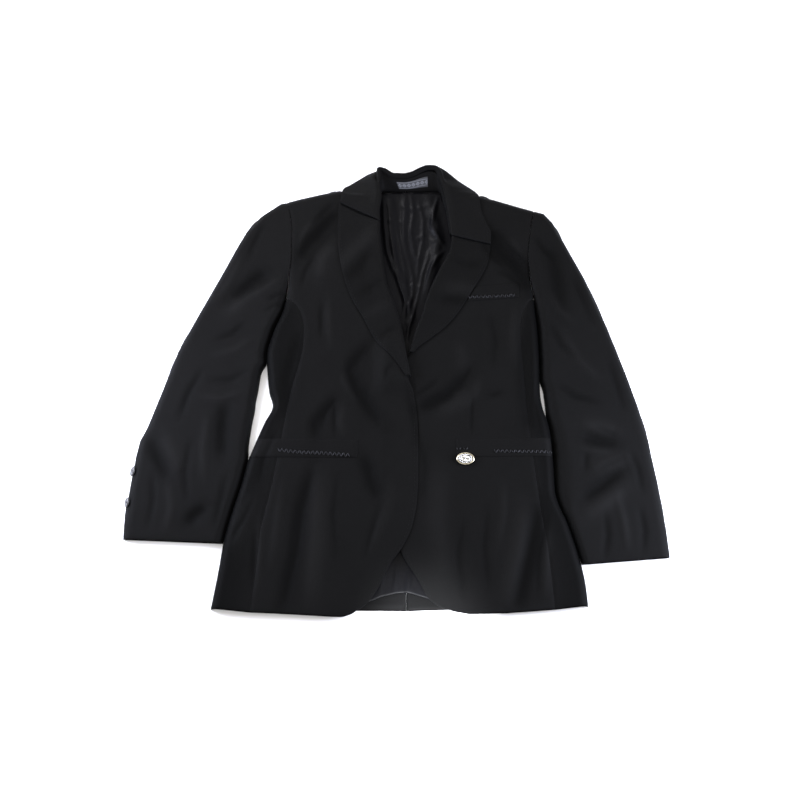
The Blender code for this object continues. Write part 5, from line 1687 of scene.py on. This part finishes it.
@dataclass
class CuffButtons:
    """The two sewn buttons on the outer roll of the right sleeve."""

    places: tuple[float, ...] = (-115.0, -162.0)
    radius: float = 7.5
    profile: Curve = Curve((
        (0.0, 1.55), (0.3, 1.5), (0.62, 1.7), (0.74, 2.3), (0.84, 2.9), (0.93, 2.75), (0.99, 2.0), (1.0, 1.3)))
    turns: int = 48
    face_end: float = 0.90
    face_rings: int = 20
    rim: tuple[float, ...] = (0.93, 0.955, 0.975, 0.99, 0.997, 1.0)
    underside: Points = ((0.97, 0.5), (0.80, 0.0))
    floor: float = 0.3
    hole_ring: float = 1.9
    hole: float = 0.75
    well: Pair = (0.6, 0.7)
    hole_depth: float = 1.1
    thread: float = 0.42
    thread_rise: Pair = (1.05, 0.9)
    thread_cross: float = 0.25
    thread_grid: tuple[int, int] = (9, 6)
    column: int = 4
    shank: float = 0.4

    def face(self) -> tuple[Array, ...]:
        """A button with its axis upright: a turned profile with four wells, open at its hub and underneath.

        Returns:
            Its points and faces.
        """
        turn = full_turn(self.turns)
        ring = np.append(np.linspace(0.0, self.face_end, self.face_rings), self.rim)
        x, y = ring[:, None] * np.cos(turn) * self.radius, ring[:, None] * np.sin(turn) * self.radius
        height = np.repeat(self.profile.value(ring)[:, None], self.turns, axis=1)
        for angle in math.pi / 4 + full_turn(4):
            gap = np.hypot(x - self.hole_ring * math.cos(angle), y - self.hole_ring * math.sin(angle))
            height = height - self.hole_depth * (1 - rise(gap, self.hole * self.well[0], self.hole * self.well[1]))
        top = np.stack([x, y, np.maximum(height, self.floor)], -1)
        low = [np.stack([x[-1] * share, y[-1] * share, np.full(self.turns, z)], -1) for share, z in self.underside]
        rings = [*top[1:], *low]
        return np.concatenate(rings), tube_faces(len(rings), self.turns, downward=True)

    def stitches(self) -> tuple[Array, ...]:
        """Two crossed threads through the wells: round bars from one well to the opposite one.

        Returns:
            Their points, then the faces of their sides and of their ends.
        """
        steps, sides = self.thread_grid
        share, turn = np.linspace(0.0, 1.0, steps), full_turn(sides)
        low, arch = self.thread_rise
        bars = []
        for number, angle in enumerate((math.pi / 4, 3 * math.pi / 4)):
            ahead = np.array([math.cos(angle), math.sin(angle), 0.0])
            aside = np.array([-ahead[1], ahead[0], 0.0])
            spine = ahead * (share[:, None] * 2 - 1) * self.hole_ring
            spine[:, 2] = low + (arch + self.thread_cross * number) * np.sin(math.pi * share) ** 0.5
            circle = np.cos(turn)[:, None] * aside + np.sin(turn)[:, None] * [0, 0, 1]
            bars.append(spine[:, None] + self.thread * circle[None])
        index, _ = ring_indices(len(share), len(turn))
        groups = (tube_faces(*index.shape), np.stack([index[0, ::-1], index[-1]]))
        return np.concatenate(bars).reshape(-1, 3), *(copies(faces, index.size, 2) for faces in groups)

    def build(self, sleeve: Array) -> None:
        """Sets the buttons square to the cloth of the sleeve's outer roll.

        Args:
            sleeve: The outer face of the right sleeve.
        """
        column, normal = sleeve[:, self.column], normals(sleeve)[:, self.column]
        for number, y in enumerate(self.places, start=1):
            foot, out = read_line(y, column[:, 1], column), unit(read_line(y, column[:, 1], normal))
            aside = unit(np.cross([0.0, 1.0, 0.0], out))
            basis = np.stack([aside, np.cross(out, aside), out])
            name = f"cuff_button_right_{number}"
            for word, finish, (points, *faces), nodes in (("resin", Finish.RESIN, self.face(), [name]),
                                                          ("thread", Finish.THREAD, self.stitches(), [])):
                placed = points @ basis + foot + out * self.shank
                hand_over(to_mesh(f"{name}_{word}", placed, *faces), finish, *nodes)


@dataclass
class OvalOrnament:
    """The plain oval ornament at the end of the left flap: a bezel, a ring of stones and a fluted dome."""

    centre: Pair = (97.0, -97.0)
    size: Pair = (27.0, 18.5)
    bezel: Points = ((1.0, 0.0), (1.0, 1.1), (0.965, 1.75), (0.90, 2.0), (0.84, 1.7), (0.81, 1.15))
    turns: int = 108
    flutes: int = 18
    flute: float = 0.45
    flute_power: float = 0.6
    dome: tuple[float, float, float] = (0.56, 1.2, 1.9)
    dome_rings: int = 12
    seat: Pair = (11.0, 9.0)
    seat_grid: tuple[int, int] = (9, 7)
    pin: float = 0.2
    stone_count: int = 30
    stone: float = 0.85
    stone_grid: tuple[int, int] = (10, 7)
    pole: float = 0.12
    stone_place: Pair = (0.70, 1.75)

    def rest(self) -> float:
        """Height of the cloth and flap that it is pinned to."""
        spans = zip(self.centre, self.seat, self.seat_grid)
        x, y = np.meshgrid(*(centre + np.linspace(-reach, reach, count) for centre, reach, count in spans))
        return float(FORM.surface(Side.LEFT, x, y).max()) + FORM.slip + FORM.trim_cloth + self.pin

    def oval(self, share: Any, turn: Array, height: Array) -> Array:
        """Points at a share of the oval's size, round it, at a height over the cloth."""
        x, y = share * np.cos(turn) * self.size[0] / 2, share * np.sin(turn) * self.size[1] / 2
        return np.stack([x + self.centre[0], y + self.centre[1], height + self.rest()], -1)

    def turned(self, name: str, profile: Points, flute: float, finish: Finish, *nodes: str) -> None:
        """Turns a profile round the oval.

        Args:
            name: The piece's name.
            profile: Shares of the oval's size, and heights, from the outside in.
            flute: Depth of the flutes that run from the rim to the middle.
            finish: The piece's finish.
            *nodes: What it stands for.
        """
        turn = full_turn(self.turns)
        share, high = np.asarray(profile, float).T[..., None]
        ramp = np.sin(math.pi * np.clip(share / share[0], 0, 1)) ** self.flute_power
        ripple = flute * (np.cos(turn * self.flutes) - 1) / 2 * ramp
        body = self.oval(share, turn, high + ripple)
        hand_over(to_mesh(name, body, tube_faces(*body.shape[:2])), finish, *nodes)

    def stones(self) -> None:
        """A ring of small round stones between the bezel and the dome."""
        sides, rings = self.stone_grid
        turn, tilt = np.meshgrid(full_turn(sides), np.linspace(self.pole, math.pi - self.pole, rings))
        ball = np.stack([np.cos(turn) * np.sin(tilt), np.sin(turn) * np.sin(tilt), np.cos(tilt)], -1).reshape(-1, 3)
        spot = full_turn(self.stone_count)
        centre = self.oval(self.stone_place[0], spot, np.full(self.stone_count, self.stone_place[1]))
        faces = copies(tube_faces(*turn.shape, downward=True), turn.size, self.stone_count)
        hand_over(to_mesh("ornament_stones", ball * self.stone + centre[:, None], faces), Finish.SILVER)

    def build(self) -> None:
        """Builds the bezel, the stones and the dome."""
        self.turned("ornament_bezel", self.bezel, 0.0, Finish.METAL, "oval_ornament")
        self.stones()
        wide, low, high = self.dome
        angles = np.linspace(0.0, math.pi / 2, self.dome_rings)[:-1]
        dome = tuple((wide * math.cos(angle), low + high * math.sin(angle)) for angle in angles)
        self.turned("ornament_dome", dome, self.flute, Finish.SILVER)


@dataclass
class Stitching:
    """Short hand stitches a little inside the free edges.

    A run is the share of an edge where its sewing starts, and the share where it ends.
    """

    pitch: float = 6.0
    length: float = 2.4
    width: float = 0.30
    inset: float = 5.0
    lead: float = 0.5
    float_share: float = 0.1
    spindle: Points = ((-0.5, 0.15), (-0.3, 0.85), (0.0, 1.0), (0.3, 0.85), (0.5, 0.15))
    sides: int = 6
    lapel_run: Pair = (0.12, 0.97)
    front_run: Pair = (0.03, 0.5)
    collar_runs: tuple[tuple[str, Pair], ...] = (
        ("collar_stitches", (0.02, 0.14)), ("collar_stitches_left", (0.80, 0.98)))

    def line(self, face: Array, border: str, first: float, last: float) -> tuple[Array, Array]:
        """Places at the inset from a border of a grid.

        Args:
            face: The cloth's outer face.
            border: Which border, start or end.
            first: Share of the border where the sewing starts.
            last: Share where it ends.

        Returns:
            Points along the line and their normals.
        """
        grid, out = face, normals(face)
        if border == "end":
            grid, out = grid[:, ::-1], out[:, ::-1]
        gap = travelled(grid, 1)
        cell = np.clip((gap < self.inset).sum(1) - 1, 0, grid.shape[1] - 2)
        row = np.arange(len(grid))
        low, high = gap[row, cell], gap[row, cell + 1]
        t = np.clip((self.inset - low) / (high - low), 0.0, 1.0)[:, None]
        points = grid[row, cell] * (1 - t) + grid[row, cell + 1] * t
        sewn = slice(int(first * len(row)), int(last * len(row)))
        return points[sewn], out[row, cell][sewn]

    def sew(self, name: str, points: Array, out: Array) -> None:
        """Sews one line: spindles at even steps, each half sunk in the cloth.

        Args:
            name: The piece's name.
            points: Places along the line.
            out: Normals there.
        """
        lengths = run_lengths(points)
        at = np.arange(self.pitch, lengths[-1] - self.pitch, self.pitch)
        spot, lead = (read_line(at + more, lengths, points) for more in (0.0, self.lead))
        up, ahead = unit(read_line(at, lengths, out)), unit(lead - spot)
        turn = full_turn(self.sides)
        share, girth = np.asarray(self.spindle).T[..., None]
        ring = girth * self.width
        local = np.stack([np.repeat(share * self.length, len(turn), 1), ring * np.cos(turn), ring * np.sin(turn)], -1)
        basis = np.stack([ahead, np.cross(up, ahead), up], 1)
        made = local.reshape(1, -1, 3) @ basis + (spot + up * self.width * self.float_share)[:, None]
        faces = copies(tube_faces(len(share), len(turn)), len(share) * len(turn), len(at))
        hand_over(to_mesh(name, made, faces), Finish.THREAD)

    def build(self, lapels: dict[Side, Array], fronts: dict[Side, Array], fall: Array) -> None:
        """Sews the lapels, the fronts below them and the collar's edge."""
        for side in Side:
            self.sew(f"lapel_stitches_{side.word}", *self.line(lapels[side], "end", *self.lapel_run))
            edge = "end" if side is Side.RIGHT else "start"
            self.sew(f"front_stitches_{side.word}", *self.line(fronts[side], edge, *self.front_run))
        for name, run in self.collar_runs:
            self.sew(name, *self.line(fall, "end", *run))


@dataclass(frozen=True)
class Lamp:
    """A soft light: a square one, or a round one that fades outwards where it has a cone.

    Places and the size are in metres, the power in watts and the cone's width in radians.
    """

    name: str
    place: Triple
    size: float
    power: float
    colour: Triple
    target: Triple = (0.0, 0.0, 0.0)
    cone: float = 0.0

    def hang(self) -> None:
        """Adds the light to the scene, turned to its target."""
        lamp = bpy.data.lights.new(self.name, "SPOT" if self.cone else "AREA")
        lamp.energy, lamp.color = self.power, self.colour
        if self.cone:
            lamp.spot_size, lamp.spot_blend, lamp.shadow_soft_size = self.cone, 1.0, self.size
        else:
            lamp.size = self.size
        aim(self.name, lamp, Vector(self.place), Vector(self.target))


def aim(name: str, data: bpy.types.ID, place: Vector, target: Vector) -> bpy.types.Object:
    """Puts a light or a camera at a place, turned to its target."""
    thing = bpy.data.objects.new(name, data)
    thing.location = place
    thing.rotation_euler = (target - place).to_track_quat("-Z", "Y").to_euler()
    bpy.context.scene.collection.objects.link(thing)
    return thing


@dataclass
class Studio:
    """The pale floor, the soft lights and the camera."""

    distance: float = 1.9
    elevation: float = 72.0
    lens: float = 56.25
    sensor: float = 36.0
    floor_size: float = 14.0
    floor_depth: float = 0.3
    floor_tone: Triple = (0.95, 0.95, 0.95)
    floor_rough: float = 0.9
    world_tone: Triple = (1.0, 0.985, 0.98)
    world_power: float = 1.0
    lamps: tuple[Lamp, ...] = (
        Lamp("left window", (-0.74, 0.10, 0.37), 0.4, 14.0, (0.79, 0.83, 1.0)),
        Lamp("right window", (0.76, -0.14, 0.37), 0.4, 15.5, (0.79, 0.83, 1.0)),
        Lamp("far wall", (-0.40, 0.95, 0.50), 0.5, 7.0, (0.97, 0.96, 1.0)),
        Lamp("ceiling lamp", (0.133, 0.005, 2.2), 0.25, 3.0, (1.0, 0.95, 0.88)),
        Lamp("hem lamp", (0.036, -0.62, 0.50), 0.03, 130.0, (0.92, 0.95, 1.0), (0.036, -0.356, 0.0), 0.36),
    )

    def floor(self) -> None:
        """A plain pale floor just under the garment."""
        half = self.floor_size / 2
        corners = np.array([[-half, -half], [half, -half], [half, half], [-half, half]]) / MM
        mesh = to_mesh("floor", raise_plan(corners, np.full(4, -self.floor_depth)), np.array([[0, 1, 2, 3]]))
        mesh.data.materials.append(Graph("pale_floor").finish({
            "Base Color": (*self.floor_tone, 1.0), "Roughness": self.floor_rough, "Specular IOR Level": 0.0}))

    def build(self) -> None:
        """Sets the floor, the lights, the world and the camera."""
        self.floor()
        for lamp in self.lamps:
            lamp.hang()
        scene = bpy.context.scene
        scene.view_settings.view_transform = "Standard"
        scene.world = bpy.data.worlds.new("studio")
        scene.world.use_nodes = True
        sky = scene.world.node_tree.nodes["Background"]
        sky.inputs["Color"].default_value = (*self.world_tone, 1.0)
        sky.inputs["Strength"].default_value = self.world_power
        angle = math.radians(self.elevation)
        eye = Vector((0.0, -self.distance * math.cos(angle), self.distance * math.sin(angle)))
        camera = bpy.data.cameras.new("camera")
        camera.lens, camera.sensor_width = self.lens, self.sensor
        scene.camera = aim("camera", camera, eye, Vector())


def main() -> None:
    """Builds the blazer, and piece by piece."""
    logging.basicConfig(level=logging.INFO, format="%(name)s: %(message)s")
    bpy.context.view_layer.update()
    fronts = Body().build()
    sleeves = {side: Sleeve(side).build() for side in Side}
    lapels = Lapels().build()
    fall = Collar().build()
    Linings().build()
    Pockets().build()
    CuffButtons().build(sleeves[Side.RIGHT])
    OvalOrnament().build()
    Stitching().build(lapels, fronts, fall)
    Studio().build()
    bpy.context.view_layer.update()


if __name__ == "__main__":
    main()
